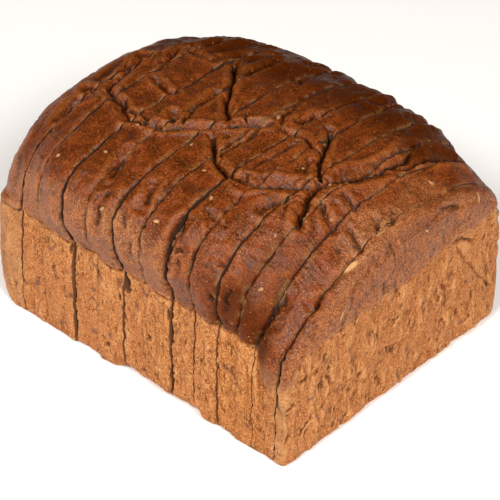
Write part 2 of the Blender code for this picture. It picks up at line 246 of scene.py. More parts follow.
# Cracks and creases of the right-hand end wall, as (across, up) places
WALL_FOLDS = (
    Fold(((-4.7, 70), (-4.5, 66), (-3.3, 61), (-5.5, 58)), 0.5, 1.2, 0.15),
    Fold(((-9.3, 55.8), (-8.3, 50.5)), 0.6, 1.5, 0.2),
    Fold(((-27.8, 56), (-25.3, 58.5)), 0.6, 1.3, 0.2),
    Fold(((-31, 52), (-27.8, 56), (-24, 62)), 0.5, 0.9, 0.2),
    Fold(((23, 70), (28, 68), (34.5, 65.5)), 0.5, 1.0, 0.2),
    Fold(((29.8, 51.5), (37, 49.5), (43, 45.5)), 0.55, 1.4, 0.2),
    Fold(((33, 48.8), (36.5, 41.3), (45, 30), (53, 20), (57.3, 15)), 0.35, 0.55, 0.15),
    Fold(((25.5, 35.8), (26.5, 31)), 1.0, 1.3, 0.1),
    Fold(((36, 17), (36, 13)), 0.8, 1.8, 0.1),
    Fold(((25, 18.5), (25, 14)), 0.6, 1.5, 0.1),
    Fold(((4.5, 34), (6, 32)), 0.8, 1.4, 0.1),
)

# Pale seeds that lie open on the crust, and covered ones that show as dark spots
SHOWN_SEEDS = (
    (56.6, -17.3), (66.9, -11.7), (65.1, 30.2), (47.6, -7.6), (47.8, -37.9),
    (11.0, -61.3), (-25.4, -31.4), (10.6, -34.1), (-3.0, -26.0),
)
WALL_SEEDS = ((13.8, 66.5), (23.8, 62.5), (-50.0, 47.5))
DARK_SPOTS = (
    (-22.5, -37.5), (16.1, -41.9), (29.0, -43.6), (40.2, -63.9), (25.1, -61.7), (-44.9, -72.1),
    (-52.3, -49.6), (-23.5, -40.6), (-26.6, -59.2), (47.5, -53.1), (52.5, -41.7), (13.0, -14.2),
)


# Pits by the saw cuts low on the front, as (along, over), and the seed bared in one, as (along, up)
NOTCHES = (
    Spot((-4.2, -103.8), 2.9, 1.5, 1.6, 1.9),
    Spot((-6.6, -109.5), 1.6, 0.7, 1.4, 1.0),
    Spot((-32.6, -99.5), 2.2, 0.9, 1.5, 1.2),
    Spot((18.0, -100.5), 2.6, 0.9, 1.6, 1.2),
    Spot((-19.3, -106.0), 2.4, 0.8, 1.5, 1.0),
    Spot((8.0, -118.0), 1.6, 1.1, 1.2, 1.1),
    Spot((-14.0, -136.0), 1.2, 0.9, 0.4, 1.2),
)
FRONT_SEEDS = ((-3.5, 40.2),)

# Torn flakes and bare crumb near the right-hand end: on the crust, then on the wall
TORN_PATCHES = (
    Spot((71.3, -24.0), 4.0, 1.25, 1.4, 1.0),
    Spot((71.0, -6.5), 2.6, 0.5, 1.5, 0.8),
    Spot((64.8, 29.0), 1.4, 0.7, 0.3, 0.7),
)
TORN_WALL = (
    Spot((45.2, 63.5), 2.3, 0.7, 1.4, 0.9),
    Spot((-33.0, 55.0), 2.4, 0.5, 1.0, 0.7),
)


def linear(hex_colour: str, alpha: float = 1.0) -> tuple[float, float, float, float]:
    """Turn an sRGB hex colour into linear values.

    Args:
        hex_colour: six hex digits after a hash sign.
        alpha: the fourth value.

    Returns:
        Red, green, blue and alpha.
    """
    shares = (int(hex_colour[k:k + 2], 16) / 255 for k in (1, 3, 5))
    values = [c / 12.92 if c <= 0.04045 else ((c + 0.055) / 1.055) ** 2.4 for c in shares]
    return (*values, alpha)


def direction(azimuth: float, elevation: float) -> Vector:
    """Point from the loaf to a place in the studio.

    Args:
        azimuth: degrees round the loaf from its front, towards its right end.
        elevation: degrees above the floor.

    Returns:
        The unit direction.
    """
    a, e = math.radians(azimuth), math.radians(elevation)
    return Vector((math.sin(a) * math.cos(e), -math.cos(a) * math.cos(e), math.sin(e)))


def finished(name: str, mesh: bmesh.types.BMesh,
             materials: list[bpy.types.Material]) -> bpy.types.Object:
    """Turn a shaped bmesh into an object of the scene.

    Args:
        name: the object's name, and its mesh's.
        mesh: the shaped bmesh, which is freed.
        materials: the finishes, in the order of the faces' numbers.

    Returns:
        The object.
    """
    data = bpy.data.meshes.new(name)
    mesh.to_mesh(data)
    mesh.free()
    for material in materials:
        data.materials.append(material)
    made = bpy.data.objects.new(name, data)
    bpy.context.scene.collection.objects.link(made)
    return made


def ease(value: np.ndarray, low: float, high: float) -> np.ndarray:
    """Rise smoothly from 0 at low to 1 at high."""
    share = np.clip((value - low) / (high - low), 0.0, 1.0)
    return share * share * (3 - 2 * share)


@dataclass
class Noise:
    """Smooth random height over space, the same each time for the same seed."""

    seed: int
    table: np.ndarray = field(init=False)
    slopes: np.ndarray = field(init=False)

    def __post_init__(self) -> None:
        """Draw the lattice's slopes."""
        chance = np.random.default_rng(self.seed)
        self.table = chance.permutation(512)
        slopes = chance.normal(size=(512, 3))
        self.slopes = slopes / np.linalg.norm(slopes, axis=1)[:, None]

    def at(self, points: np.ndarray, size: float) -> np.ndarray:
        """Read the noise at points.

        Args:
            points: rows of three numbers, in millimetres.
            size: the width of a bump, in millimetres.

        Returns:
            One height for each row, about -1 to 1.
        """
        cells = points / size
        base = np.floor(cells).astype(int)
        inside = cells - base
        blend = inside ** 3 * (inside * (inside * 6 - 15) + 10)
        total = np.zeros(len(points))
        for corner in product((0, 1), repeat=3):
            spot = base + corner
            pick = self.table[(self.table[(self.table[spot[:, 0] & 511] + spot[:, 1]) & 511]
                               + spot[:, 2]) & 511]
            pull = np.einsum("ij,ij->i", self.slopes[pick], inside - corner)
            weight = np.prod(np.where(corner, blend, 1 - blend), axis=1)
            total += pull * weight
        return total * 1.6

    def layered(self, points: np.ndarray, size: float, layers: int) -> np.ndarray:
        """Sum finer and finer layers of the noise, each half as high as the one before.

        Args:
            points: rows of three numbers, in millimetres.
            size: the width of the widest bumps.
            layers: how many layers there are.

        Returns:
            One height for each row.
        """
        total = np.zeros(len(points))
        for layer in range(layers):
            total += self.at(points + 37.1 * layer, size / 2 ** layer) / 2 ** layer
        return total

    def billowed(self, points: np.ndarray, size: float, layers: int) -> np.ndarray:
        """Sum rounded puffs that meet in sharp creases, about -0.5 to 1.5, finer layer by layer.

        Args:
            points: rows of three numbers, in millimetres.
            size: the width of the widest puffs.
            layers: how many layers there are.

        Returns:
            One height for each row.
        """
        total = np.zeros(len(points))
        for layer in range(layers):
            puff = np.sqrt(self.at(points + 51.7 * layer, size / 2 ** layer) ** 2 + 0.0015)
            total += (2.6 * puff - 0.6) / 2 ** layer
        return total


def distance_to_course(points: np.ndarray, course: tuple) -> tuple[np.ndarray, np.ndarray]:
    """Measure how far each point is from a course of straight stretches.

    Args:
        points: rows of two numbers.
        course: the stops of the course.

    Returns:
        For each row, its distance, and how far along the course its nearest place is.
    """
    nearest, walk = np.full(len(points), 1e9), np.zeros(len(points))
    stops = np.array(course, dtype=float)
    walked = 0.0
    for start, stop in zip(stops[:-1], stops[1:]):
        run = stop - start
        length = float(np.linalg.norm(run))
        share = np.clip((points - start) @ run / length ** 2, 0.0, 1.0)
        gap = np.linalg.norm(points - start - share[:, None] * run, axis=1)
        walk = np.where(gap < nearest, walked + share * length, walk)
        nearest = np.minimum(nearest, gap)
        walked += length
    return nearest, walk


def blurred(grid: np.ndarray, reach: tuple[int, int], closed: bool) -> np.ndarray:
    """Blur a grid of heights with a box of the given half sides, twice.

    Args:
        grid: rows and columns of heights.
        reach: half the box's height and half its width, in steps.
        closed: whether the last column meets the first.

    Returns:
        The blurred heights.
    """
    for _ in range(2):
        for axis, half in enumerate(reach):
            pad = [(0, 0), (0, 0)]
            pad[axis] = (half + 1, half)
            wide = np.pad(grid, pad, mode="wrap" if closed and axis == 1 else "edge")
            total = np.cumsum(wide, axis=axis)
            far = np.take(total, range(2 * half + 1, total.shape[axis]), axis=axis)
            near = np.take(total, range(0, total.shape[axis] - 2 * half - 1), axis=axis)
            grid = (far - near) / (2 * half + 1)
    return grid


def hollows(lift: np.ndarray, columns: int, closed: bool) -> np.ndarray:
    """Tell how hollow the skin is at each point, from -1 on ridges to 1 in cracks; the crust's finish
    paints shade in the hollows and a highlight on the ridges by it.

    Args:
        lift: the lift of a grid's points, row after row.
        columns: how many points a row has.
        closed: whether the last column meets the first.

    Returns:
        One value for each point.
    """
    grid = lift.reshape(-1, columns)
    fine = blurred(grid, (2, 2), closed) - grid
    broad = blurred(grid, (7, 7), closed) - grid
    return np.clip(2.2 * fine + 0.7 * broad, -1, 1).ravel()


@dataclass
class LoafForm:
    """The loaf's plain form: its section at any place along it, before any relief."""

    crust_steps: int = 640
    side_steps: int = 140
    base_steps: int = 60

    def smooth_stations(self, along: float) -> list[float]:
        """Read the section's seven numbers at a place, with the steps between stations eased.

        Args:
            along: the place, in loaf millimetres.

        Returns:
            The crown's height, then the front's and the rear's shoulder sizes.
        """
        places = np.array([station.along for station in STATIONS], dtype=float)
        rows = np.array([station.numbers() for station in STATIONS])
        grid = np.arange(-95.0, 95.5, 1.0)
        easing = np.hanning(17)
        easing /= easing.sum()
        values = []
        for row in rows.T:
            held = np.pad(np.interp(grid, places, row), 8, mode="edge")
            values.append(float(np.interp(along, grid, np.convolve(held, easing, "valid"))))
        return values

    def half_crust(self, shoulder: Shoulder, crown: float, steps: int = 240) -> np.ndarray:
        """Trace one side from the rim round the shoulder to the crown, as (out, up) rows.

        Args:
            shoulder: the side's shoulder.
            crown: the height of the crown.
            steps: how finely the arch is traced.

        Returns:
            The side's rows.
        """
        rise = np.linspace(0.0, 1.0, 40, endpoint=False)[:, None]
        turn = np.linspace(0.0, math.pi / 2, steps)
        rim = min(shoulder.level, RIM_HEIGHT)
        out = shoulder.reach * np.cos(turn) ** (2 / shoulder.square)
        up = shoulder.level + (crown - shoulder.level) * np.sin(turn) ** (2 / shoulder.square)
        arch = np.column_stack([out, up])
        if shoulder.level <= RIM_HEIGHT + 1:
            return arch
        swell = TIN_WIDTH / 2 + (shoulder.reach - TIN_WIDTH / 2) * np.sin(rise * math.pi / 2) ** 0.9
        return np.vstack([np.hstack([swell, rim + (shoulder.level - rim) * rise]), arch])

    def bottom_round(self, along: float) -> float:
        """Give the radius of the front bottom edge, wider where the dough fell short.

        Args:
            along: the place, in loaf millimetres.

        Returns:
            The radius.
        """
        into = min(max((along - SLACK_FROM) / 6.0, 0.0), 1.0)
        out_of = min(max((SLACK_TO - along) / 4.0, 0.0), 1.0)
        share = math.sin(into * math.pi / 2) * math.sin(out_of * math.pi / 2)
        return EDGE_ROUND + (SLACK_ROUND - EDGE_ROUND) * share

    def side_and_corner(self, rim: float, radius: float) -> np.ndarray:
        """Trace the tin side down from the rim and round the bottom edge, in even steps.

        Args:
            rim: the height where the tin's side starts.
            radius: the radius of the bottom edge.

        Returns:
            Rows of how far out and how high.
        """
        heights = np.linspace(rim, radius, 60)
        belly = SIDE_BELLY * np.sin(np.clip((rim - heights) / 24.0, 0.0, 1.0) * math.pi / 2)
        side = np.column_stack([TIN_WIDTH / 2 + belly, heights])
        turn = np.radians(np.linspace(0.0, 90.0, 20)[1:])
        corner = np.column_stack([
            TIN_WIDTH / 2 + belly[-1] - radius * (1 - np.cos(turn)),
            radius * (1 - np.sin(turn)),
        ])
        line = np.vstack([side, corner])
        walked = np.concatenate([[0.0], np.cumsum(np.hypot(*np.diff(line, axis=0).T))])
        even = np.linspace(0.0, walked[-1], self.side_steps + 1)
        return np.column_stack([np.interp(even, walked, line[:, k]) for k in (0, 1)])

    def section(self, along: float) -> tuple[np.ndarray, np.ndarray, np.ndarray]:
        """Trace the closed section at one place along the loaf.

        The rows start at the front rim, go over the crown to the rear rim, and come back under.

        Args:
            along: the place, in loaf millimetres.

        Returns:
            (across, up) rows, each row's place over the crust, and its height above the rim.
        """
        crown, *numbers = self.smooth_stations(along)
        front = self.half_crust(Shoulder(*numbers[:3]), crown)
        rear = self.half_crust(Shoulder(*numbers[3:]), crown)
        crust = np.vstack([front * (-1, 1), rear[::-1][1:]])
        walked = np.concatenate([[0.0], np.cumsum(np.hypot(*np.diff(crust, axis=0).T))])
        shares = np.linspace(0.0, walked[-1], self.crust_steps + 1)
        top = np.column_stack([np.interp(shares, walked, crust[:, k]) for k in (0, 1)])
        rear_side = self.side_and_corner(rear[0, 1], EDGE_ROUND)[1:]
        front_side = self.side_and_corner(front[0, 1], self.bottom_round(along))[1:]
        front_side = front_side[::-1] * (-1, 1)
        base = np.linspace(rear_side[-1], front_side[0], self.base_steps + 1)[1:-1]
        ring = np.vstack([top, rear_side, base, front_side])
        over = shares - walked[len(front) - 1]
        steps = np.hypot(*np.diff(ring[self.crust_steps:], axis=0).T)
        down = np.cumsum(steps)
        up_front = np.cumsum(np.hypot(*np.diff(np.vstack([ring, ring[:1]])[::-1], axis=0).T))
        rear_part = over[-1] + down
        front_part = over[0] - up_front[:len(down)][::-1]
        over = np.concatenate([over, np.where(ring[len(top):, 0] > 0, rear_part, front_part)])
        above = np.minimum(shares, walked[-1] - shares)
        lower = ring[len(top):]
        rim = np.where(lower[:, 0] > 0, rear[0, 1], front[0, 1])
        above = np.concatenate([above, lower[:, 1] - rim])
        return ring, over, above

    @staticmethod
    def outward(ring: np.ndarray) -> np.ndarray:
        """Give the unit normals of a closed section, pointing out of the loaf.

        Args:
            ring: the section's (across, up) rows.

        Returns:
            One (across, up) normal for each row.
        """
        run = np.roll(ring, -2, axis=0) - np.roll(ring, 2, axis=0)
        normals = np.column_stack([-run[:, 1], run[:, 0]])
        return normals / np.linalg.norm(normals, axis=1)[:, None]


@dataclass
class Relief:
    """Everything that lifts or dents the loaf's skin, and the shade and highlight it paints into the
    crust's colour.
    """

    form: LoafForm
    noise: Noise = field(default_factory=lambda: Noise(5))
    fine: Noise = field(default_factory=lambda: Noise(23))

    def swell(self, along: np.ndarray, over: np.ndarray) -> np.ndarray:
        """Give the loaf's gentle unevenness.

        Args:
            along: places along the loaf.
            over: places over the crust.

        Returns:
            The lift at each place.
        """
        rise = 0.45 * np.sin(along / 6.1 + over / 9.7) * np.sin(over / 7.3 - along / 11.0 + 1.1)
        rise += 0.35 * np.sin(along / 3.9 - over / 14.0 + 0.6) * np.sin(over / 12.0 + 2.0)
        return rise

    def folded(self, points: np.ndarray, folds: tuple[Fold, ...]) -> tuple[np.ndarray, np.ndarray]:
        """Press folds into the skin: a narrow slot, a softer flank, rolled lips and pleats.

        Args:
            points: two-number places on the skin.
            folds: the folds, in the same measure as the places.

        Returns:
            How far the skin is lifted, and how much painted shade the fold gets.
        """
        dip, lip, pleat, dark = (np.zeros(len(points)) for _ in range(4))
        for fold in folds:
            stops = np.array(fold.course)
            low, high = stops.min(axis=0) - 9.0, stops.max(axis=0) + 9.0
            near = np.nonzero(((points > low) & (points < high)).all(axis=1))[0]
            if not len(near):
                continue
            gap, walk = distance_to_course(points[near], fold.course)
            ends = np.minimum(
                np.linalg.norm(points[near] - stops[0], axis=1),
                np.linalg.norm(points[near] - stops[-1], axis=1))
            fade = 0.3 + 0.7 * ease(ends, 0.0, 1.3 * fold.width + 0.6)
            depth = fold.depth * (1.5 if fold.depth < 2.3 else 1.0)
            thin = min(fold.width, 0.75)
            slot = 0.5 * (np.exp(-(gap / fold.width) ** 1.7) + np.exp(-(gap / thin) ** 1.7))
            flank = np.exp(-gap / (1.5 * fold.width + 0.9))
            dip[near] = np.maximum(dip[near], depth * fade * (0.62 * slot + 0.38 * flank))
            roll = 1.25 * fold.lip * fade * np.exp(-((gap - 1.5 * fold.width - 1.6) / 1.9) ** 2)
            lip[near] = np.maximum(lip[near], roll)
            ridges = np.sin(2 * math.pi * walk / 2.1) * np.exp(-gap / 2.6) * (1 - slot)
            pleat[near] += fold.pleat * fade * ridges
            # Painted shade along the fold's narrow slot
            shade = min(1.0, fold.depth / 3.4) * fade * np.exp(-(gap / thin * 1.3) ** 2)
            dark[near] = np.maximum(dark[near], shade)
        return lip + pleat - dip, dark

    def spotted(self, points: np.ndarray, spots: list[Spot] | tuple[Spot, ...]) -> np.ndarray:
        """Add up the spots' depths at each place.

        Args:
            points: two-number places on the skin.
            spots: the spots, in the same measure.

        Returns:
            The summed depth at each place.
        """
        total = np.zeros(len(points))
        order = np.argsort(points[:, 1])
        ordered = points[order, 1]
        for spot in spots:
            reach = 2.2 * max(spot.length, spot.width)
            low, high = np.searchsorted(ordered, (spot.place[1] - reach, spot.place[1] + reach))
            near = order[low:high]
            near = near[np.abs(points[near, 0] - spot.place[0]) < reach]
            if not len(near):
                continue
            away = points[near] - spot.place
            c, s = math.cos(spot.turn), math.sin(spot.turn)
            run = (away[:, 0] * c + away[:, 1] * s) / spot.length
            side = (away[:, 1] * c - away[:, 0] * s) / spot.width
            total[near] += spot.depth * np.exp(-(run ** 2 + side ** 2) ** 1.3)
        return total

    def rim_wander(self, room: np.ndarray) -> np.ndarray:
        """Give how far the crust's lower edge wanders up and down at each point."""
        return 0.75 * self.noise.at(room * (1, 1, 0.3), 5.0) + 0.3 * self.fine.at(room, 1.5)

    def warped(self, points: np.ndarray, room: np.ndarray) -> np.ndarray:
        """Shift flat places a little by noise, so that courses wander as torn crust does.

        Args:
            points: two-number places on the skin.
            room: the same places in space.

        Returns:
            The shifted places.
        """
        shift = [self.noise.at(room + k * 91.0, 5.5) * 0.9 + self.fine.at(room - k * 53.0, 1.8) * 0.4
                 for k in (1, 2)]
        return points + np.column_stack(shift)

    def dome_lift(self, room: np.ndarray, flat: np.ndarray, own: np.ndarray) -> tuple:
        """Shape the baked dome away from its named folds.

        Args:
            room: the points in space.
            flat: their (along, over) places.
            own: the piece's own slow unevenness.

        Returns:
            The lift, and how much painted shade the fine creases get.
        """
        loose = ease(self.noise.at(room + 5.0, 17.0), -0.45, 0.45)
        drawn = np.column_stack([flat[:, 0] * 1.35, flat[:, 1] * 0.55, room[:, 2] * 0.1])
        puffs = self.noise.billowed(drawn, 9.0, 1)
        wrinkle = self.fine.billowed(drawn * (1.1, 1.0, 1.0), 4.2, 1)
        lift = self.swell(flat[:, 0], flat[:, 1]) + 0.36 * self.noise.at(room, 8.0) + 0.6 * own
        lift += (0.16 + 0.24 * loose) * puffs + (0.03 + 0.16 * loose) * wrinkle
        lift += 0.08 * self.fine.layered(room, 1.4, 2)
        # Painted shade in the fine creases between the puffs
        crease = np.clip(-0.42 - puffs, 0, 1) * 0.5 + np.clip(-0.45 - wrinkle, 0, 1) * 0.3 * loose
        return lift, crease

    def tin_lift(self, room: np.ndarray, own: np.ndarray) -> tuple:
        """Shape the tan skin that the tin formed: lumps, crazing and sandy grain.

        Args:
            room: the points in space.
            own: the piece's own slow unevenness.

        Returns:
            The lift, how much painted shade the fine creases get, and how much each point stands proud.
        """
        tall = room * (1.0, 1.0, 0.42)
        lump = self.noise.layered(tall, 6.5, 2)
        puffs = self.noise.billowed(tall, 4.2, 2)
        grain = self.fine.layered(room, 0.9, 2)
        craggy = ease(self.fine.at(room * (1.0, 1.0, 0.7), 13.0), -0.3, 0.5)
        craggy = craggy + 0.5 * ease(room[:, 0], -25.0, 0.0) * (1 - ease(room[:, 0], 58.0, 70.0))
        lift = 0.52 * lump + 0.25 * own + (0.04 + 0.24 * craggy) * puffs + (0.07 + 0.08 * craggy) * grain
        # The finish paints the tan paler where proud is high and darker where it is low: partly grain
        # tone, partly painted highlight and shade
        proud = np.clip(0.40 + 0.25 * lump + 0.10 * puffs + 0.30 * grain, 0, 1)
        # Painted shade in the fine creases between the puffs
        crease = np.clip(-0.30 - puffs, 0, 1) * 0.6 * craggy
        return lift, crease, proud


@dataclass
class SkinPatch:
    """A stretch of skin being shaped: places, ways out, and what the finish needs at each point."""

    room: np.ndarray
    out: np.ndarray
    flat: np.ndarray
    above: np.ndarray
    bake_and_shade: np.ndarray
    crease: np.ndarray | None = None
    proud: np.ndarray | None = None
    fleck: np.ndarray | None = None
    hollow: np.ndarray | None = None

    def __post_init__(self) -> None:
        """Start with no creases, proud grains, flecks or hollows where none are given."""
        for layer in ("crease", "proud", "fleck", "hollow"):
            if getattr(self, layer) is None:
                setattr(self, layer, np.zeros(len(self.room)))

    @classmethod
    def joined(cls, patches: list["SkinPatch"]) -> "SkinPatch":
        """Put patches after one another in one."""
        names = [entry.name for entry in fields(cls)]
        return cls(*(np.concatenate([getattr(patch, name) for patch in patches]) for name in names))


@dataclass
class LoafPiece:
    """One heel or slice: shared ways to shape its skin and to finish its mesh."""

    name: str
    form: LoafForm
    relief: Relief
    materials: list[bpy.types.Material]
    seed: int

    def crust_spots(self, chance: np.random.Generator, low: float, high: float) -> tuple:
        """Scatter dents and covered seeds over one piece's stretch of the loaf.

        Args:
            chance: the piece's own random numbers.
            low: where the piece starts along the loaf.
            high: where it ends.

        Returns:
            The pores and dents, and the covered seeds.
        """
        span = high - low
        dents, covered = [], []
        for _ in range(int(span * 196 / 34)):
            place = (chance.uniform(low, high), chance.uniform(-98, 98))
            size = chance.uniform(0.35, 0.9)
            dents.append(Spot(place, size * chance.uniform(1.0, 2.6), size, chance.uniform(0, 3.14),
                              chance.uniform(0.06, 0.30)))
        for side in (-1, 1):
            for _ in range(int(span * 48 / 9)):
                place = (chance.uniform(low, high), side * chance.uniform(94, 148))
                size = chance.uniform(0.25, 0.55)
                turn = chance.normal(1.57, 0.55)
                dents.append(Spot(place, size * chance.uniform(1.2, 4.0), size, turn,
                                  chance.uniform(0.12, 0.50)))
        for _ in range(int(span * 290 / 240)):
            place = (chance.uniform(low, high), chance.uniform(-145, 145))
            size = chance.uniform(0.6, 1.15)
            covered.append(Spot(place, size * 1.6, size, chance.uniform(0, 3.14), 1.0))
        dents += [notch for notch in NOTCHES if low <= notch.place[0] <= high]
        for place in DARK_SPOTS:
            if low <= place[0] <= high:
                covered.append(Spot(place, 1.9, 1.2, chance.uniform(0, 3.14), 1.0))
        return dents, covered

    def faded(self, above: np.ndarray, room: np.ndarray) -> np.ndarray:
        """Let the crust droop and fade slowly into the tan at the loaf's front right corner.

        Args:
            above: how far each point is above the rim, over the skin.
            room: the points in space.

        Returns:
            The same heights, lowered in contrast and raised near that corner.
        """
        near = ease(room[:, 0], 59.0, 63.0) * ease(-room[:, 1], 52.0, 58.0)
        return (above + 8.0 * near) / (1 + 9.0 * near)

    def shape_band(self, patch: SkinPatch, edges: dict[int, np.ndarray]) -> np.ndarray:
        """Work out how far each point of the piece's outer band is lifted.

        Args:
            patch: the band's points.
            edges: for each cut that bounds the piece, how far each point is from it.

        Returns:
            The lift, in millimetres, along each point's way out.
        """
        chance = np.random.default_rng(self.seed)
        relief, room = self.relief, patch.room
        reach = np.minimum.reduce(list(edges.values()))
        wander = relief.rim_wander(room)
        own = Noise(self.seed + 100).at(room * (0.4, 1, 1), 20.0)
        lobe = 1.5 * np.exp(-reach / 1.5) - 0.9 * own - 0.4
        patch.above = patch.above + wander - lobe * (patch.above < 6)
        patch.above = self.faded(patch.above, room)
        crust = ease(patch.above, *CRUST_EDGE)
        courses = relief.warped(patch.flat, room)
        fold, dark = relief.folded(courses, CRACKS + VALLEYS + CREASES)
        dents, covered = self.crust_spots(chance, float(patch.flat[:, 0].min()),
                                          float(patch.flat[:, 0].max()))
        dent = relief.spotted(courses, dents)
        fleck = np.clip(relief.spotted(patch.flat, covered), 0, 1)
        dome, dome_dark = relief.dome_lift(room, patch.flat, own)
        tin, tin_dark, proud = relief.tin_lift(room, own)
        rise = crust * (dome + fold) + (1 - crust) * tin - dent + 0.16 * fleck
        roll = 0.60 * np.exp(-((patch.above - 1.5) / 1.3) ** 2)
        under = np.exp(-((patch.above + 0.65) / 0.6) ** 2)
        rise += roll - under * (0.70 + 0.6 * relief.fine.at(room, 3.0))
        torn = 0.5 + 0.8 * relief.noise.at(room * (0.2, 1, 1) + 11.0, 7.0)
        torn = np.clip(torn + 0.6 * (1.3 - crust) * relief.fine.at(room * (0.2, 1, 1), 2.6), 0, 1)
        pinch = np.zeros(len(room))
        for cut, away in edges.items():
            steep = 0.08 + 0.30 * crust + (0.50 + 0.45 * crust) * WORN[cut] * torn
            soft = (0.15 + (0.60 - 0.20 * patch.bake_and_shade) * crust) * np.exp(-away / 2.0)
            steep = steep * np.exp(-(away / 0.5) ** 1.3)
            steep *= 0.62 + 0.38 * ease(np.abs(patch.flat[:, 1]), 15.0, 60.0)
            pinch += (steep + soft) * shown(cut, patch.flat[:, 1])
        rise -= pinch
        # Painted shade in the gap where the cut's edges pinch in deepest
        cut_gap_shade = 0.35 * np.clip(pinch - 0.6, 0, 1)
        crumbly = np.exp(-reach / 0.5) * np.clip(1.5 * relief.fine.at(room + 9.0, 4.0), 0, 0.32)
        flake = np.clip(2.2 * relief.spotted(patch.flat, TORN_PATCHES) - 0.7, 0, 1)
        rise += 0.6 * flake
        crumbly = np.maximum(crumbly, flake)
        fine_dark = crust * dome_dark + (1 - crust) * tin_dark
        # Painted shade: in the folds and fine creases, in the dents, in the shadow under the crust's
        # overhang and in the cut gaps
        patch.crease = np.clip(dark + fine_dark + 0.9 * dent + 0.35 * under + cut_gap_shade, 0, 1)
        patch.proud = (1 - crust) * proud + crust * crumbly
        patch.fleck = fleck
        return rise

    def to_object(self, mesh: bmesh.types.BMesh, patch: SkinPatch,
                  order: np.ndarray) -> bpy.types.Object:
        """Turn a shaped mesh into the piece that stands for its node.

        Args:
            mesh: the mesh, with its faces made but its points not yet in place.
            patch: the shaped points, and what the finish needs at each.
            order: for each vertex, its row in the patch.

        Returns:
            The dressed object.
        """
        places = (patch.room - MIDDLE) * MM
        for vert, row in zip(mesh.verts, order):
            vert.co = places[row]
        bmesh.ops.recalc_face_normals(mesh, faces=mesh.faces)
        for edge in mesh.edges:
            skins = {face.material_index for face in edge.link_faces}
            edge.smooth = len(skins) == 1
        piece = finished(self.name + "_skin", mesh, self.materials)
        data = piece.data
        data.shade_smooth()
        for layer in ("above", "bake_and_shade", "crease", "proud", "fleck", "hollow"):
            stored = data.attributes.new(layer, "FLOAT", "POINT")
            stored.data.foreach_set("value", getattr(patch, layer)[order].astype(np.float32))
        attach(piece, BODY)
        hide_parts(self.name)
        log.info("%s: %d faces", piece.name, len(data.polygons))
        return piece

    def rind_ring(self, band: SkinPatch, part: slice, cut: int, side: int) -> SkinPatch:
        """Copy the band's ring at a cut, drawn in on the cut's face by the rind's thickness.

        Args:
            band: the piece's shaped band.
            part: the band's rows that are the ring.
            cut: the cut's number.
            side: 1 for the face to the right of the cut, -1 for the one to its left.

        Returns:
            The copied ring.
        """
        names = [entry.name for entry in fields(SkinPatch)]
        ring = SkinPatch(*(getattr(band, name)[part].copy() for name in names))
        ring.room[:, 1:] = drawn_in(ring.room[:, 1:], RIND)
        ring.room[:, 0] = cut_face(cut, side, ring.room[:, 1])
        return ring


def cut_face(cut: int, side: int, across: np.ndarray) -> np.ndarray:
    """Place a cut's face along the loaf at each row; the gaping cuts open to the front.

    Args:
        cut: the cut's number.
        side: 1 for the face to the right of the cut, -1 for the one to its left.
        across: how far across the loaf each row is.

    Returns:
        Each row's place along the loaf.
    """
    gape = GAPING.get(cut, 0.0) * np.clip((TIN_WIDTH / 2 - across) / TIN_WIDTH, 0.0, 1.1)
    return CUTS[cut] + side * (SAW_GAPS[cut] + gape) / 2


def torn_edge(noise: Noise, cut: int, side: int, ring: np.ndarray, over: np.ndarray) -> np.ndarray:
    """Place the edge that a cut leaves in the crust, which wanders and closes up here and there.

    Args:
        noise: the noise it follows, the same for the cut's two faces.
        cut: the cut's number.
        side: 1 for the face to the right of the cut, -1 for the one to its left.
        ring: the section's (across, up) rows.
        over: each row's place over the crust.

    Returns:
        Each row's place along the loaf.
    """
    line = np.column_stack([np.full(len(over), 13.3 * cut), over, np.full(len(over), 3.1)])
    in_tin = ease(RIM_HEIGHT - ring[:, 1], -4.0, 4.0)
    wander = 0.34 * noise.at(line, 8.0) + 0.26 * noise.at(line, 3.3) + 0.13 * noise.at(line, 1.5)
    wander *= 1 + 0.6 * in_tin
    open_share = 0.8 + (1.1 + 0.6 * in_tin) * noise.at(line + 71.0, 9.0)
    open_share = open_share + 0.5 * noise.at(line + 29.0, 2.6)
    open_share = np.clip(open_share, 0.08, 1.8)
    half = np.abs(cut_face(cut, side, ring[:, 0]) - CUTS[cut])
    half = np.maximum(half, DOME_GAP / 2 * (ring[:, 1] > RIM_HEIGHT)) * open_share
    half *= 0.55 + 0.45 * ease(np.abs(over), 15.0, 60.0)
    crumbs = 0.5 * np.clip(noise.at(line + 200.0 * side, 2.6) - 0.05, 0, 1)
    crumbs += 0.3 * np.clip(noise.at(line + 90.0 * side, 1.2) - 0.05, 0, 1)
    return CUTS[cut] + wander + side * (half + crumbs) * shown(cut, over)


def shown(cut: int, over: np.ndarray) -> np.ndarray:
    """Tell how far a cut shows at each place over the crust: 1, or little where it closed up."""
    low, high = CLOSED.get(cut, (200.0, 201.0))
    return 1 - 0.85 * ease(over, low - 3, low + 3) * (1 - ease(over, high - 3, high + 3))


def drawn_in(ring: np.ndarray, draw: float | np.ndarray) -> np.ndarray:
    """Draw a section's rows in towards the middle of the wall.

    Args:
        ring: the section's (across, up) rows.
        draw: how far to draw them in, in millimetres.

    Returns:
        The rows, drawn in.
    """
    spoke = ring - WALL_MIDDLE
    share = 1 - draw / np.linalg.norm(spoke, axis=1)
    return WALL_MIDDLE + spoke * share[:, None]


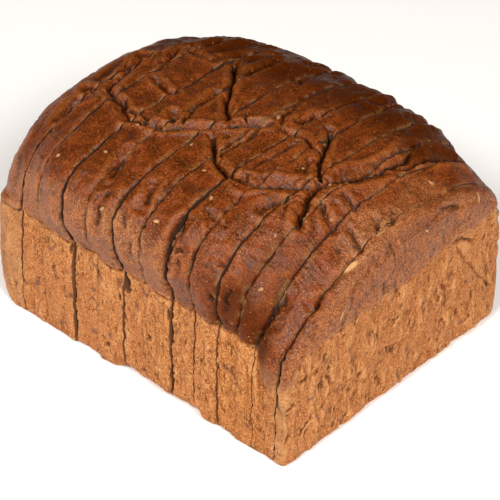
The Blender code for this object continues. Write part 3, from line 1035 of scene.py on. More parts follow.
@dataclass
class LoafSlice(LoafPiece):
    """A slice between two cuts, its crust a closed band and its faces crumb."""

    number: int = 0
    step: float = 0.33

    def build(self) -> bpy.types.Object:
        """Shape the slice and dress it.

        Returns:
            The dressed slice.
        """
        cuts = (self.number, self.number + 1)
        low, high = (CUTS[cut] for cut in cuts)
        rows = max(12, round((high - low) / self.step))
        faces = []
        for cut, side in zip(cuts, (1, -1)):
            ring, over, _ = self.form.section(CUTS[cut])
            faces.append(torn_edge(self.relief.fine, cut, side, ring, over))
        rings, away = [], {cut: [] for cut in cuts}
        for share in np.linspace(0.0, 1.0, rows + 1):
            ring, over, above = self.form.section(low + (high - low) * share)
            along = faces[0] + (faces[1] - faces[0]) * share
            normal = self.form.outward(ring)
            rings.append(SkinPatch(
                np.column_stack([along, ring]), np.column_stack([along * 0, normal]),
                np.column_stack([along, over]), above, bake_and_shade_of(normal, along)))
            away[cuts[0]].append(along - faces[0])
            away[cuts[1]].append(faces[1] - along)
        band = SkinPatch.joined(rings)
        count = len(ring)
        edges = {cut: np.maximum(np.concatenate(parts), 0) for cut, parts in away.items()}
        lift = self.shape_band(band, edges)
        band.hollow = hollows(lift, count, True)
        band.room += band.out * lift[:, None]
        band.room[:, 1] += LEANS[self.number]
        band.room[:, 2] = np.maximum(band.room[:, 2], 0.0)
        rinds = [self.rind_ring(band, part, cut, side) for part, cut, side in
                 ((slice(0, count), cuts[0], 1), (slice(rows * count, None), cuts[1], -1))]
        patch = SkinPatch.joined([rinds[0], band, rinds[1]])
        mesh, order = self.tube(rows + 2, count)
        return self.to_object(mesh, patch, order)

    def tube(self, rows: int, ring_size: int) -> tuple[bmesh.types.BMesh, np.ndarray]:
        """Make a capped tube of even rows, ready to be put in place.

        Args:
            rows: how many steps it has along.
            ring_size: how many points it has round.

        Returns:
            The mesh, and each vertex's row in the slice's grid.
        """
        mesh = bmesh.new()
        bmesh.ops.create_cone(mesh, cap_ends=True, cap_tris=False, segments=ring_size,
                              radius1=1.0, radius2=1.0, depth=float(rows))
        risers = [e for e in mesh.edges if abs(e.verts[0].co.z - e.verts[1].co.z) > 0.5]
        bmesh.ops.subdivide_edges(mesh, edges=risers, cuts=rows - 1, use_grid_fill=True)
        points = np.array([vert.co for vert in mesh.verts])
        turn = np.arctan2(points[:, 1], points[:, 0])
        first = np.arctan2(points[0, 1], points[0, 0])
        column = np.round((turn - first) / (2 * math.pi / ring_size)).astype(int) % ring_size
        row = np.round(points[:, 2] + rows / 2).astype(int)
        for face in mesh.faces:
            level = abs(face.calc_center_median().z)
            if len(face.verts) > 4:
                face.material_index = Skin.CRUMB.value
            elif level > rows / 2 - 1:
                face.material_index = Skin.RIND.value
        return mesh, row * ring_size + column


def bake_and_shade_of(way: np.ndarray, along: np.ndarray) -> np.ndarray:
    """Tell how darkly each place is baked, with painted shade added where less light falls.

    The crown is darkest. Its rear, which faces away from the lamps, is darkened further with
    painted shade. Towards the right end its top is paler, and its shoulders are darker, partly
    from a darker bake and partly from painted shade on that less lit side.

    Args:
        way: the (across, up) parts of each place's way out.
        along: the places along the loaf.

    Returns:
        One share for each place, 1 for dark and glossy, more for the darkest, which is partly painted
        shade.
    """
    crown = ease(way[:, 1], 0.25, 0.88)
    pale = ease(along, 54.0, 70.0) * ease(way[:, 0], -0.60, -0.20)
    top = crown * (1 - 0.15 * ease(along, 28.0, 56.0) - 0.85 * pale)
    # Shoulders from the middle towards the right end: partly a darker bake, partly painted shade on a
    # less lit side
    shoulder = 1.2 * (1 - crown) * ease(along, 8.0, 44.0) * (1 - 0.85 * ease(along, 62.0, 73.0))
    scorched = ease(along, 42.0, 50.0) * (1 - ease(along, 64.0, 72.0)) * ease(-way[:, 0], 0.15, 0.45)
    # Painted shade on the rear, which faces away from the lamps
    rear = 0.65 * ease(way[:, 0], 0.0, 0.40)
    return top + shoulder + 0.2 * scorched * ease(way[:, 1], 0.2, 0.6) + rear


@dataclass
class LoafHeel(LoafPiece):
    """An end piece: a full wall of crust, rounded into a band, with crumb on its one cut face."""

    end: End = End.LEFT
    wall_across: int = 340
    wall_up: int = 140
    turn_rows: int = 16
    step: float = 0.36

    def end_rounding(self, ring: np.ndarray) -> tuple[np.ndarray, np.ndarray]:
        """Give how far each row draws in, and how long its rounding is along the loaf.

        Args:
            ring: the section's (across, up) rows.

        Returns:
            The two measures, in millimetres, for each row.
        """
        crust = np.clip((ring[:, 1] - RIM_HEIGHT + 5.0) / 18.0, 0.0, 1.0)
        foot = np.exp(-np.maximum(ring[:, 1] - 2.0, 0.0) / 8.0)
        if self.end is End.LEFT:
            foot = foot * ease(np.abs(ring[:, 0]), 25.0, 58.0)
            return 5.5 + 4.5 * crust + 5.0 * foot, 7.5 + 5.5 * crust + 4.0 * foot
        foot = foot * ease(ring[:, 0], 25.0, 58.0)
        return 2.0 + 4.5 * crust + 4.5 * foot, 2.2 + 1.1 * crust

    def wall_spots(self, chance: np.random.Generator) -> tuple[list[Spot], list[Spot]]:
        """Scatter pores and covered seeds over the end wall, as (across, up) places.

        Args:
            chance: the wall's own random numbers.

        Returns:
            The pores and dents, and the covered seeds.
        """
        dents, covered = [], []
        for count, small, large, depth in ((300, 0.22, 0.45, 0.5), (75, 0.5, 0.85, 1.1)):
            for _ in range(count):
                place = (chance.uniform(-61, 61), chance.uniform(1, 49))
                size = chance.uniform(small, large)
                dents.append(Spot(place, size * chance.uniform(1.2, 3.4), size,
                                  chance.normal(1.3, 0.45), depth * chance.uniform(0.4, 1.0)))
        for _ in range(260):
            place = (chance.uniform(-55, 55), chance.uniform(48, 80))
            size = chance.uniform(0.3, 0.7)
            dents.append(Spot(place, size * chance.uniform(1.0, 2.4), size,
                              chance.uniform(0, 3.14), chance.uniform(0.08, 0.35)))
        for _ in range(46):
            place = (chance.uniform(-58, 58), chance.uniform(4, 76))
            size = chance.uniform(0.6, 1.1)
            covered.append(Spot(place, size * 1.7, size, chance.normal(1.4, 0.6), 1.0))
        return dents, covered

    def shape_wall(self, patch: SkinPatch) -> np.ndarray:
        """Work out how far each point of the end wall is lifted along the loaf.

        Args:
            patch: the wall's points; what the finish needs is filled in.

        Returns:
            The lift, in millimetres, out of the wall.
        """
        chance = np.random.default_rng(self.seed + 7)
        relief, room = self.relief, patch.room
        wander = relief.rim_wander(room)
        patch.above = self.faded(patch.above + wander, room)
        places = relief.warped(patch.flat, room)
        fold, dark = relief.folded(places, WALL_FOLDS if self.end is End.RIGHT else ())
        dents, covered = self.wall_spots(chance)
        dent = relief.spotted(places, dents)
        fleck = np.clip(relief.spotted(patch.flat, covered), 0, 1)
        crust = ease(patch.above, *CRUST_EDGE)
        own = Noise(self.seed + 100).at(room, 20.0)
        dome, dome_dark = relief.dome_lift(room, patch.flat, own)
        tin, tin_dark, proud = relief.tin_lift(room, own)
        under = np.exp(-((patch.above + 0.6) / 0.6) ** 2)
        flake = np.clip(2.2 * relief.spotted(places, TORN_WALL) - 0.7, 0, 1) * (self.end is End.RIGHT)
        dome = dome + 0.20 * relief.fine.layered(room, 2.0, 2)
        rise = crust * (0.5 + 1.1 * dome) + (1 - crust) * 1.3 * tin + fold - 1.3 * dent + 0.14 * fleck
        rise += 0.6 * flake
        rise -= under * (0.2 + 0.4 * relief.fine.at(room, 3.0))
        fine_dark = crust * dome_dark + (1 - crust) * tin_dark
        # Painted shade: in the folds and fine creases, in the dents and in the shadow under the crust's
        # edge
        patch.crease = np.clip(dark + fine_dark + 0.85 * dent + 0.15 * under, 0, 1)
        patch.proud = (1 - crust) * proud + crust * flake
        patch.fleck = fleck
        return rise

    def rim_line(self, across: np.ndarray) -> np.ndarray:
        """Give the height of the crust line across the wall; at the right it droops in front.

        Args:
            across: places across the wall.

        Returns:
            The line's height at each place.
        """
        if self.end is End.LEFT:
            return RIM_HEIGHT - np.exp(-(across + TIN_WIDTH / 2) / 9.0)
        rise = 1.2 + 3.2 * ease(across, 0.0, 25.0)
        return RIM_HEIGHT + rise - 7.0 * np.exp(-(across + TIN_WIDTH / 2) / 9.0)

    def build(self) -> bpy.types.Object:
        """Shape the heel and dress it.

        Returns:
            The dressed heel.
        """
        form = LoafForm(self.wall_across, self.wall_up, self.wall_across)
        side = self.end.value
        cut = 0 if self.end is End.LEFT else len(CUTS) - 1
        end = LEFT_END if self.end is End.LEFT else RIGHT_END
        plain, over, _ = form.section(CUTS[cut])
        draw, length = self.end_rounding(plain)
        face = torn_edge(self.relief.fine, cut, side, plain, over)
        shoulder_at = end - side * length
        straight = max(3, round(float(np.mean(np.abs(shoulder_at - face))) / self.step))
        leans = np.linspace(math.pi / 2, 0.0, self.turn_rows + 1)
        stops = [(end - side * length * (1 - math.sin(lean)), lean) for lean in leans]
        stops += [(shoulder_at + (face - shoulder_at) * share, 0.0)
                  for share in np.linspace(0.0, 1.0, straight + 1)[1:]]
        rings, tips, away = [], [], []
        for along, lean in stops:
            ring, over, above = form.section(float(np.mean(along)))
            normal = form.outward(ring)
            ring = drawn_in(ring, draw * (1 - math.cos(lean)))
            tip = math.sin(lean)
            rings.append(SkinPatch(
                np.column_stack([along, ring]),
                np.column_stack([along * 0 + side * tip, normal * math.cos(lean)]),
                np.column_stack([along, over]), above,
                bake_and_shade_of(normal * math.cos(lean * 0.7), along)))
            tips.append(np.full(len(ring), tip ** 2))
            away.append(np.abs(along - face))
        band = SkinPatch.joined(rings)
        band = self.as_wall_at_tips(band, np.concatenate(tips), {cut: np.concatenate(away)})
        wall = self.wall_patch(rings[0].room)
        patch = SkinPatch.joined([wall, band, self.rind_ring(band, slice(-len(plain), None), cut, side)])
        patch.room[:, 2] = np.maximum(patch.room[:, 2], 0.0)
        mesh, order = self.cup(len(rings), len(wall.room))
        return self.to_object(mesh, patch, order)

    def as_wall_at_tips(self, band: SkinPatch, tips: np.ndarray, edges: dict) -> SkinPatch:
        """Shape the band, passing over into the wall's own relief where it turns into the wall.

        Args:
            band: the band's points, not yet lifted.
            tips: for each point, 1 at the wall's edge to 0 where the rounding ends.
            edges: how far each point is from the heel's cut.

        Returns:
            The lifted band.
        """
        level = band.room[:, 2] - self.rim_line(band.room[:, 1])
        wall = SkinPatch(band.room, band.out, band.room[:, 1:], level, self.wall_shine(band.room[:, 2]))
        lift = self.shape_band(band, edges) * (1 - tips) + self.shape_wall(wall) * tips
        for layer in ("above", "bake_and_shade", "crease", "proud", "fleck"):
            mixed = getattr(band, layer) * (1 - tips) + getattr(wall, layer) * tips
            setattr(band, layer, np.maximum(mixed, getattr(band, layer) * (layer == "proud")))
        band.hollow = hollows(lift, 2 * (self.wall_across + self.wall_up), True)
        band.room = band.room + band.out * lift[:, None]
        return band

    def wall_shine(self, up: np.ndarray) -> np.ndarray:
        """Tell how darkly the end wall is baked at each height."""
        return 0.30 * ease(up, 52.0, 72.0)

    def wall_patch(self, edge: np.ndarray) -> SkinPatch:
        """Spread the end wall's skin between its edges and lift it.

        Args:
            edge: the wall's closed outline, as (along, across, up) rows.

        Returns:
            The lifted wall.
        """
        room = self.wall_grid(edge)
        flat = room[:, 1:].copy()
        out = np.tile((float(self.end.value), 0.0, 0.0), (len(room), 1))
        bake_and_shade = self.wall_shine(flat[:, 1])
        wall = SkinPatch(room, out, flat, flat[:, 1] - self.rim_line(flat[:, 0]), bake_and_shade)
        lift = self.shape_wall(wall) + 1.2 * (1 - self.edge_share(flat, edge) ** 2)
        wall.hollow = hollows(lift, self.wall_across + 1, False)
        wall.room = room + out * lift[:, None]
        return wall

    def wall_grid(self, edge: np.ndarray) -> np.ndarray:
        """Spread a grid over the end wall between its four edges.

        Args:
            edge: the wall's closed outline, as (along, across, up) rows from the front rim.

        Returns:
            The grid's points in space.
        """
        wide, tall = self.wall_across, self.wall_up
        top = edge[:wide + 1]
        rear = edge[wide:wide + tall + 1][::-1]
        base = edge[wide + tall:2 * wide + tall + 1][::-1]
        front = np.vstack([edge[2 * wide + tall:], edge[:1]])
        u = np.linspace(0, 1, wide + 1)[None, :, None]
        v = np.linspace(0, 1, tall + 1)[:, None, None]
        sides = (1 - v) * base[None] + v * top[None] + (1 - u) * front[:, None] + u * rear[:, None]
        corners = ((1 - u) * (1 - v) * base[0] + u * (1 - v) * base[-1]
                   + (1 - u) * v * top[0] + u * v * top[-1])
        return (sides - corners).reshape(-1, 3)

    def edge_share(self, places: np.ndarray, edge: np.ndarray) -> np.ndarray:
        """Tell how near each wall place is to the wall's edge, from 0 in the middle to 1.

        Args:
            places: (across, up) places on the wall.
            edge: the wall's closed outline.

        Returns:
            One share for each place.
        """
        across = np.abs(places[:, 0]) / np.abs(edge[:, 1]).max()
        up = np.abs(places[:, 1] - 38.0) / 40.0
        return np.clip(np.maximum(across, up) ** 2, 0, 1)

    def cup(self, rows: int, wall_points: int) -> tuple[bmesh.types.BMesh, np.ndarray]:
        """Make a grid with its border drawn out into a closed band, ready to be put in place.

        Args:
            rows: how many steps the band has along.
            wall_points: how many points the wall's grid has.

        Returns:
            The mesh, and each vertex's row: the wall's grid first, then ring after ring.
        """
        wide, tall = self.wall_across, self.wall_up
        mesh = bmesh.new()
        bmesh.ops.create_grid(mesh, x_segments=wide, y_segments=tall, size=0.5)
        border = [edge for edge in mesh.edges if edge.is_boundary]
        for _ in range(rows):
            drawn = bmesh.ops.extrude_edge_only(mesh, edges=border)["geom"]
            fresh = [item for item in drawn if isinstance(item, bmesh.types.BMVert)]
            bmesh.ops.translate(mesh, verts=fresh, vec=(0.0, 0.0, -1.0))
            border = [item for item in drawn if isinstance(item, bmesh.types.BMEdge)]
        bmesh.ops.contextual_create(mesh, geom=border)
        # Extruding adds its faces in an order that changes from run to run, so they are sorted.
        mesh.verts.index_update()
        mesh.edges.sort(key=corner_number)
        mesh.faces.sort(key=corner_number)
        for face in mesh.faces:
            if len(face.verts) > 4:
                face.material_index = Skin.CRUMB.value
            elif face.calc_center_median().z < 1 - rows:
                face.material_index = Skin.RIND.value
        points = np.array([vert.co for vert in mesh.verts])
        i = np.round((points[:, 0] + 0.5) * wide).astype(int)
        j = np.round((points[:, 1] + 0.5) * tall).astype(int)
        row = np.round(-points[:, 2]).astype(int)
        ring = np.where(j == tall, i, 0)
        ring = np.where((i == wide) & (j < tall), wide + tall - j, ring)
        ring = np.where((j == 0) & (i < wide), wide + tall + wide - i, ring)
        ring = np.where((i == 0) & (j > 0) & (j < tall), 2 * wide + tall + j, ring)
        count = 2 * (wide + tall)
        inner = j * (wide + 1) + i
        return mesh, np.where(row == 0, inner, wall_points + row * count + ring % count)


def corner_number(item: bmesh.types.BMEdge | bmesh.types.BMFace) -> int:
    """Number an edge or face of a cup by its first and last corner, which no other one shares.

    Args:
        item: the edge or face, in a mesh whose vertices have their index.

    Returns:
        The number.
    """
    corners = [vert.index for vert in item.verts]
    return max(corners) * MOST_CORNERS + min(corners)


def add_node(tree: bpy.types.NodeTree, kind: str, settings: dict | None = None,
             **links: object) -> bpy.types.Node:
    """Add a shader node with its settings and links.

    Args:
        tree: the material's node tree.
        kind: the node's type name, without ShaderNode.
        settings: values for the node's own properties and, by name or number, its inputs.
        links: for each input, by name with spaces as underscores or as in_0, an output socket.

    Returns:
        The new node.
    """
    node = tree.nodes.new("ShaderNode" + kind)
    for key, value in (settings or {}).items():
        if isinstance(key, int):
            node.inputs[key].default_value = value
        elif hasattr(node, key):
            setattr(node, key, value)
        else:
            node.inputs[key].default_value = value
    for key, socket in links.items():
        place = int(key[3:]) if key.startswith("in_") else key.replace("_", " ")
        tree.links.new(socket, node.inputs[place])
    return node


@dataclass
class Finish:
    """A material in the making: its node tree, object coordinates and shader."""

    name: str
    material: bpy.types.Material = field(init=False)
    tree: bpy.types.NodeTree = field(init=False)

    def __post_init__(self) -> None:
        """Start the material with its shader."""
        self.material = bpy.data.materials.new(self.name)
        self.material.use_nodes = True
        self.tree = self.material.node_tree
        self.shader = self.tree.nodes["Principled BSDF"]
        self.places = add_node(self.tree, "TexCoord").outputs["Object"]

    def noise(self, size_mm: float, detail: float = 2.0, rough: float = 0.5,
              stretch: tuple[float, float, float] = (1, 1, 1)) -> bpy.types.NodeSocket:
        """Add noise whose bumps are size_mm wide, drawn out along the axes by stretch.

        Args:
            size_mm: how wide a bump is.
            detail: how many finer layers it has.
            rough: how strong the finer layers are.
            stretch: how far it is drawn out along each axis.

        Returns:
            The noise, about 0 to 1.
        """
        scale = tuple(1.0 / (size_mm * MM * s) for s in stretch)
        mapped = add_node(self.tree, "Mapping", {"Scale": scale}, Vector=self.places)
        noise = add_node(self.tree, "TexNoise", {"Scale": 1.0, "Detail": detail, "Roughness": rough},
                         Vector=mapped.outputs[0])
        return noise.outputs["Fac"]

    def dots(self, size_mm: float, radius: float, share: float) -> bpy.types.NodeSocket:
        """Add round dots in a share of cells that are size_mm wide; radius is a share of a cell.

        Args:
            size_mm: how wide a cell is.
            radius: a dot's radius, as a share of a cell.
            share: the share of cells that hold a dot.

        Returns:
            1 in the dots and 0 between them.
        """
        scale = (1.0 / (size_mm * MM),) * 3
        mapped = add_node(self.tree, "Mapping", {"Scale": scale}, Vector=self.places)
        node = add_node(self.tree, "TexVoronoi", {"Scale": 1.0}, Vector=mapped.outputs[0])
        chosen = self.sum("LESS_THAN", node.outputs["Color"], share)
        return self.sum("MULTIPLY", self.ramp(node.outputs["Distance"], radius, radius * 0.5), chosen)

    def slits(self, size_mm: float, half_width: float, tall: float) -> bpy.types.NodeSocket:
        """Add thin upright cracks in scattered patches, where noise passes its middle value.

        Args:
            size_mm: about how far the cracks are apart.
            half_width: how far from its middle value the noise still counts as a crack.
            tall: how many times longer than wide the pattern is.

        Returns:
            1 in the cracks and 0 between them.
        """
        line = self.noise(size_mm, 1.0, 0.5, (1, 1, tall))
        gap = self.sum("ABSOLUTE", self.sum("SUBTRACT", line, 0.5), 0.0)
        patch = self.ramp(self.noise(size_mm * 1.4, 2.0, 0.5, (1, 1, 1.5)), 0.53, 0.60)
        return self.sum("MULTIPLY", self.ramp(gap, half_width, half_width * 0.3), patch)

    def attribute(self, name: str) -> bpy.types.NodeSocket:
        """Read one of the piece's own point attributes."""
        return add_node(self.tree, "Attribute", {"attribute_name": name}).outputs["Fac"]

    def ramp(self, source: bpy.types.NodeSocket, low: float, high: float,
             start: float = 0.0, stop: float = 1.0) -> bpy.types.NodeSocket:
        """Turn a value from low..high into start..stop, smoothly and held at the ends.

        Args:
            source: the value to turn.
            low: where it starts to change.
            high: where it stops changing.
            start: the result at low.
            stop: the result at high.

        Returns:
            The turned value.
        """
        node = add_node(self.tree, "MapRange", {"interpolation_type": "SMOOTHSTEP", 1: low, 2: high,
                                                3: start, 4: stop}, in_0=source)
        return node.outputs[0]

    def sum(self, kind: str, first: object, second: object) -> bpy.types.NodeSocket:
        """Combine two values, each a socket or a number, by the named operation.

        Args:
            kind: the operation's name.
            first: a socket or a number.
            second: a socket or a number.

        Returns:
            The result.
        """
        node = add_node(self.tree, "Math", {"operation": kind})
        for slot, value in enumerate((first, second)):
            if isinstance(value, (int, float)):
                node.inputs[slot].default_value = value
            else:
                self.tree.links.new(value, node.inputs[slot])
        return node.outputs[0]

    def blend(self, share: object, first: object, second: object) -> bpy.types.NodeSocket:
        """Mix two colours, each a socket or a hex colour, by a share of 0 to 1.

        Args:
            share: how much of the second colour there is.
            first: a socket or a hex colour.
            second: a socket or a hex colour.

        Returns:
            The mixed colour.
        """
        node = add_node(self.tree, "Mix", {"data_type": "RGBA"})
        for slot, value in ((0, share), (6, first), (7, second)):
            if isinstance(value, str):
                node.inputs[slot].default_value = linear(value)
            elif isinstance(value, (int, float)):
                node.inputs[slot].default_value = value
            else:
                self.tree.links.new(value, node.inputs[slot])
        return node.outputs[2]

    def bump(self, height: bpy.types.NodeSocket, depth_mm: float) -> None:
        """Add fine relief of the given depth to the shader."""
        node = add_node(self.tree, "Bump", {"Strength": 1.0, "Distance": depth_mm * MM}, Height=height)
        self.tree.links.new(node.outputs[0], self.shader.inputs["Normal"])

    def set_shader(self, **values: object) -> None:
        """Set the shader's inputs, each by a number, a colour or a socket."""
        for key, value in values.items():
            target = self.shader.inputs[key.replace("_", " ")]
            if isinstance(value, bpy.types.NodeSocket):
                self.tree.links.new(value, target)
            else:
                target.default_value = value


@dataclass(frozen=True)
class BakedCrust:
    """Oven-baked wholemeal crust: dark and softly glossy on the dome, tan and matt in the tin."""

    crown_dark: str = "#431800"
    crown_light: str = "#793107"
    # The worn colours also paint a highlight on ridges
    crown_worn_and_highlight: str = "#9A531E"
    shoulder_dark: str = "#6E3715"
    shoulder_light: str = "#965428"
    shoulder_worn_and_highlight: str = "#B0764A"
    tan_dark: str = "#9D5B2A"
    tan: str = "#B06D3A"
    tan_light: str = "#D29C64"
    # tan_pit also paints shade where the tan skin sinks, and tan_light a highlight on its ridges
    tan_pit: str = "#77401B"
    bran: str = "#BE8248"
    torn: str = "#D2A268"
    glaze: str = "#FFF0E2"
    fleck_tone: str = "#5B3530"
    fleck_on_dome: str = "#42231A"
    # Painted shade for cracks, creases and slits; the darker one also colours dark specks on the dome
    crack_shade_and_speck: str = "#1C0A03"
    tan_crack_shade: str = "#552D12"

    def make(self) -> bpy.types.Material:
        """Build the material from the pieces' attributes and noise at real sizes.

        Returns:
            The material.
        """
        f = Finish("baked_wholemeal_crust")
        above, bake_and_shade, crease = f.attribute("above"), f.attribute("bake_and_shade"), f.attribute("crease")
        proud, fleck, hollow = f.attribute("proud"), f.attribute("fleck"), f.attribute("hollow")
        broad, patchy, speck = f.noise(16, 3), f.noise(5.5, 3, 0.55), f.noise(0.5, 2, 0.6)
        freckle = f.noise(1.7, 3, 0.65)
        sand, slits = f.noise(0.62, 2, 0.7), f.slits(2.6, 0.024, 3.2)
        # Crown: caramelised, so darker and redder than the shoulders, which the steam kept pale
        crown = f.blend(f.ramp(patchy, 0.28, 0.74), self.crown_dark, self.crown_light)
        shoulder = f.blend(f.ramp(patchy, 0.28, 0.74), self.shoulder_dark, self.shoulder_light)
        mottled = f.sum("ADD", bake_and_shade, f.ramp(broad, 0.25, 0.75, -0.22, 0.22))
        dome = f.blend(f.ramp(mottled, 0.0, 0.75), shoulder, crown)
        worn_and_highlight = f.blend(f.ramp(mottled, 0.0, 0.75), self.shoulder_worn_and_highlight, self.crown_worn_and_highlight)
        # Painted highlight on ridges, partly real wear, in the worn colour
        dome = f.blend(f.ramp(hollow, 0.0, -0.9, 0.0, 0.50), dome, worn_and_highlight)
        dome = f.blend(f.ramp(freckle, 0.52, 0.70, 0.0, 0.18), dome, worn_and_highlight)
        dome = f.blend(f.ramp(freckle, 0.46, 0.30, 0.0, 0.34), dome, self.crown_dark)
        dome = f.blend(f.ramp(speck, 0.53, 0.64, 0.0, 0.82), dome, worn_and_highlight)
        dome = f.blend(f.ramp(speck, 0.47, 0.36, 0.0, 0.84), dome, self.crown_dark)
        # Painted shade: places over 1, the rear and the darkened shoulders, are taken towards the
        # crown's darkest brown
        dome = f.blend(f.ramp(bake_and_shade, 0.95, 1.3, 0.0, 0.85), dome, self.crown_dark)
        dome = f.blend(f.sum("MULTIPLY", f.dots(1.2, 0.21, 0.34), 0.85), dome, self.bran)
        dome = f.blend(f.sum("MULTIPLY", f.dots(1.9, 0.17, 0.32), 0.70), dome, self.crack_shade_and_speck)
        dome = f.blend(f.sum("MULTIPLY", fleck, 0.60), dome, self.fleck_on_dome)
        dome = f.blend(f.sum("MULTIPLY", proud, 0.80), dome, self.torn)
        # Tin sides: matt tan skin, paler where it stands proud and darker where it sinks, partly flour
        # and grain tone and partly painted highlight and shade, and brown bran specks
        tin = f.blend(f.ramp(f.noise(6.0, 4, 0.6), 0.30, 0.68), self.tan_dark, self.tan)
        tin = f.blend(f.ramp(proud, 0.35, 1.0, 0.0, 0.50), tin, self.tan_light)
        tin = f.blend(f.ramp(proud, 0.35, 0.0, 0.0, 0.50), tin, self.tan_pit)
        tin = f.blend(f.ramp(sand, 0.52, 0.66, 0.0, 0.75), tin, self.tan_light)
        tin = f.blend(f.ramp(sand, 0.48, 0.34, 0.0, 0.75), tin, self.tan_pit)
        # Painted highlight on the tan ridges
        tin = f.blend(f.ramp(hollow, 0.0, -0.8, 0.0, 0.45), tin, self.tan_light)
        tin = f.blend(f.sum("MULTIPLY", f.dots(3.1, 0.20, 0.30), 0.55), tin, self.tan_pit)
        tin = f.blend(f.sum("MULTIPLY", fleck, 0.75), tin, self.fleck_tone)
        # Painted shade in the thin upright cracks
        tin = f.blend(f.sum("MULTIPLY", slits, 0.70), tin, self.tan_crack_shade)
        is_dome = f.ramp(above, -0.30, 0.30)
        colour = f.blend(is_dome, tin, dome)
        # The painted shade colour, for the tan and for the crust
        dark = f.blend(is_dome, self.tan_crack_shade, self.crack_shade_and_speck)
        # Painted shade in the hollows
        colour = f.blend(f.ramp(hollow, 0.15, 1.0, 0.0, 0.55), colour, dark)
        # Painted shade in creases, cracks, dents, cut gaps and under the crust's overhang
        colour = f.blend(f.ramp(crease, 0.08, 0.95, 0.0, 0.95), colour, dark)
        gloss = f.sum("MULTIPLY", f.sum("MULTIPLY", bake_and_shade, is_dome), 0.06)
        rough = f.sum("SUBTRACT", f.ramp(is_dome, 0.0, 1.0, 0.85, 0.46), gloss)
        rough = f.sum("ADD", rough, f.ramp(patchy, 0.2, 0.8, -0.10, 0.10))
        f.set_shader(Base_Color=colour, Roughness=rough, Specular_Tint=linear(self.glaze),
                     Specular_IOR_Level=f.ramp(bake_and_shade, 0.95, 1.3, 0.32, 0.08))
        grit = f.sum("ADD", sand, f.sum("MULTIPLY", speck, 0.5))
        grit = f.sum("MULTIPLY", grit, f.ramp(is_dome, 0.0, 1.0, 1.0, 0.42))
        slit_dip = f.sum("MULTIPLY", f.sum("MULTIPLY", slits, f.ramp(is_dome, 1.0, 0.0)), 0.8)
        f.bump(f.sum("SUBTRACT", grit, slit_dip), 0.42)
        return f.material


@dataclass(frozen=True)
class SawnRind:
    """The rind where the saw went through it: dry and dark, browner under the dome than in the tin."""

    under_dome: str = "#43200D"
    in_tin: str = "#6A3F1E"

    def make(self) -> bpy.types.Material:
        """Build the material.

        Returns:
            The material.
        """
        f = Finish("sawn_rind")
        under = f.ramp(f.attribute("above"), -1, 1)
        f.set_shader(Base_Color=f.blend(under, self.in_tin, self.under_dome), Roughness=0.95)
        f.bump(f.noise(0.8, 3), 0.3)
        return f.material


@dataclass(frozen=True)
class SawnCrumb:
    """Wholemeal crumb, sawn: open pores, darkened with painted shade, in a matt, springy light brown."""

    body: str = "#9A6B40"
    pale: str = "#B98D5E"
    # The pore colour is painted shade in the holes
    pore: str = "#5A3519"

    def make(self) -> bpy.types.Material:
        """Build the material from pores at their real sizes.

        Returns:
            The material.
        """
        f = Finish("sawn_wholemeal_crumb")
        colour = f.blend(f.ramp(f.noise(3, 3), 0.3, 0.7), self.body, self.pale)
        pores = f.dots(2.2, 0.4, 0.7)
        # Painted shade in the pores
        colour = f.blend(f.sum("MULTIPLY", pores, 0.8), colour, self.pore)
        f.set_shader(Base_Color=colour, Roughness=0.9)
        f.bump(f.sum("SUBTRACT", f.noise(0.8, 3), pores), 0.4)
        return f.material


@dataclass(frozen=True)
class SeedCoat:
    """A toasted seed's coat: smooth, a little waxy, mottled between a darker and a paler tone."""

    name: str
    dark: str
    light: str
    roughness: float

    def make(self) -> bpy.types.Material:
        """Build the material.

        Returns:
            The material.
        """
        f = Finish(self.name)
        f.set_shader(Base_Color=f.blend(f.ramp(f.noise(1.1, 2), 0.3, 0.7), self.dark, self.light),
                     Roughness=self.roughness)
        f.bump(f.noise(0.4, 2), 0.05)
        return f.material


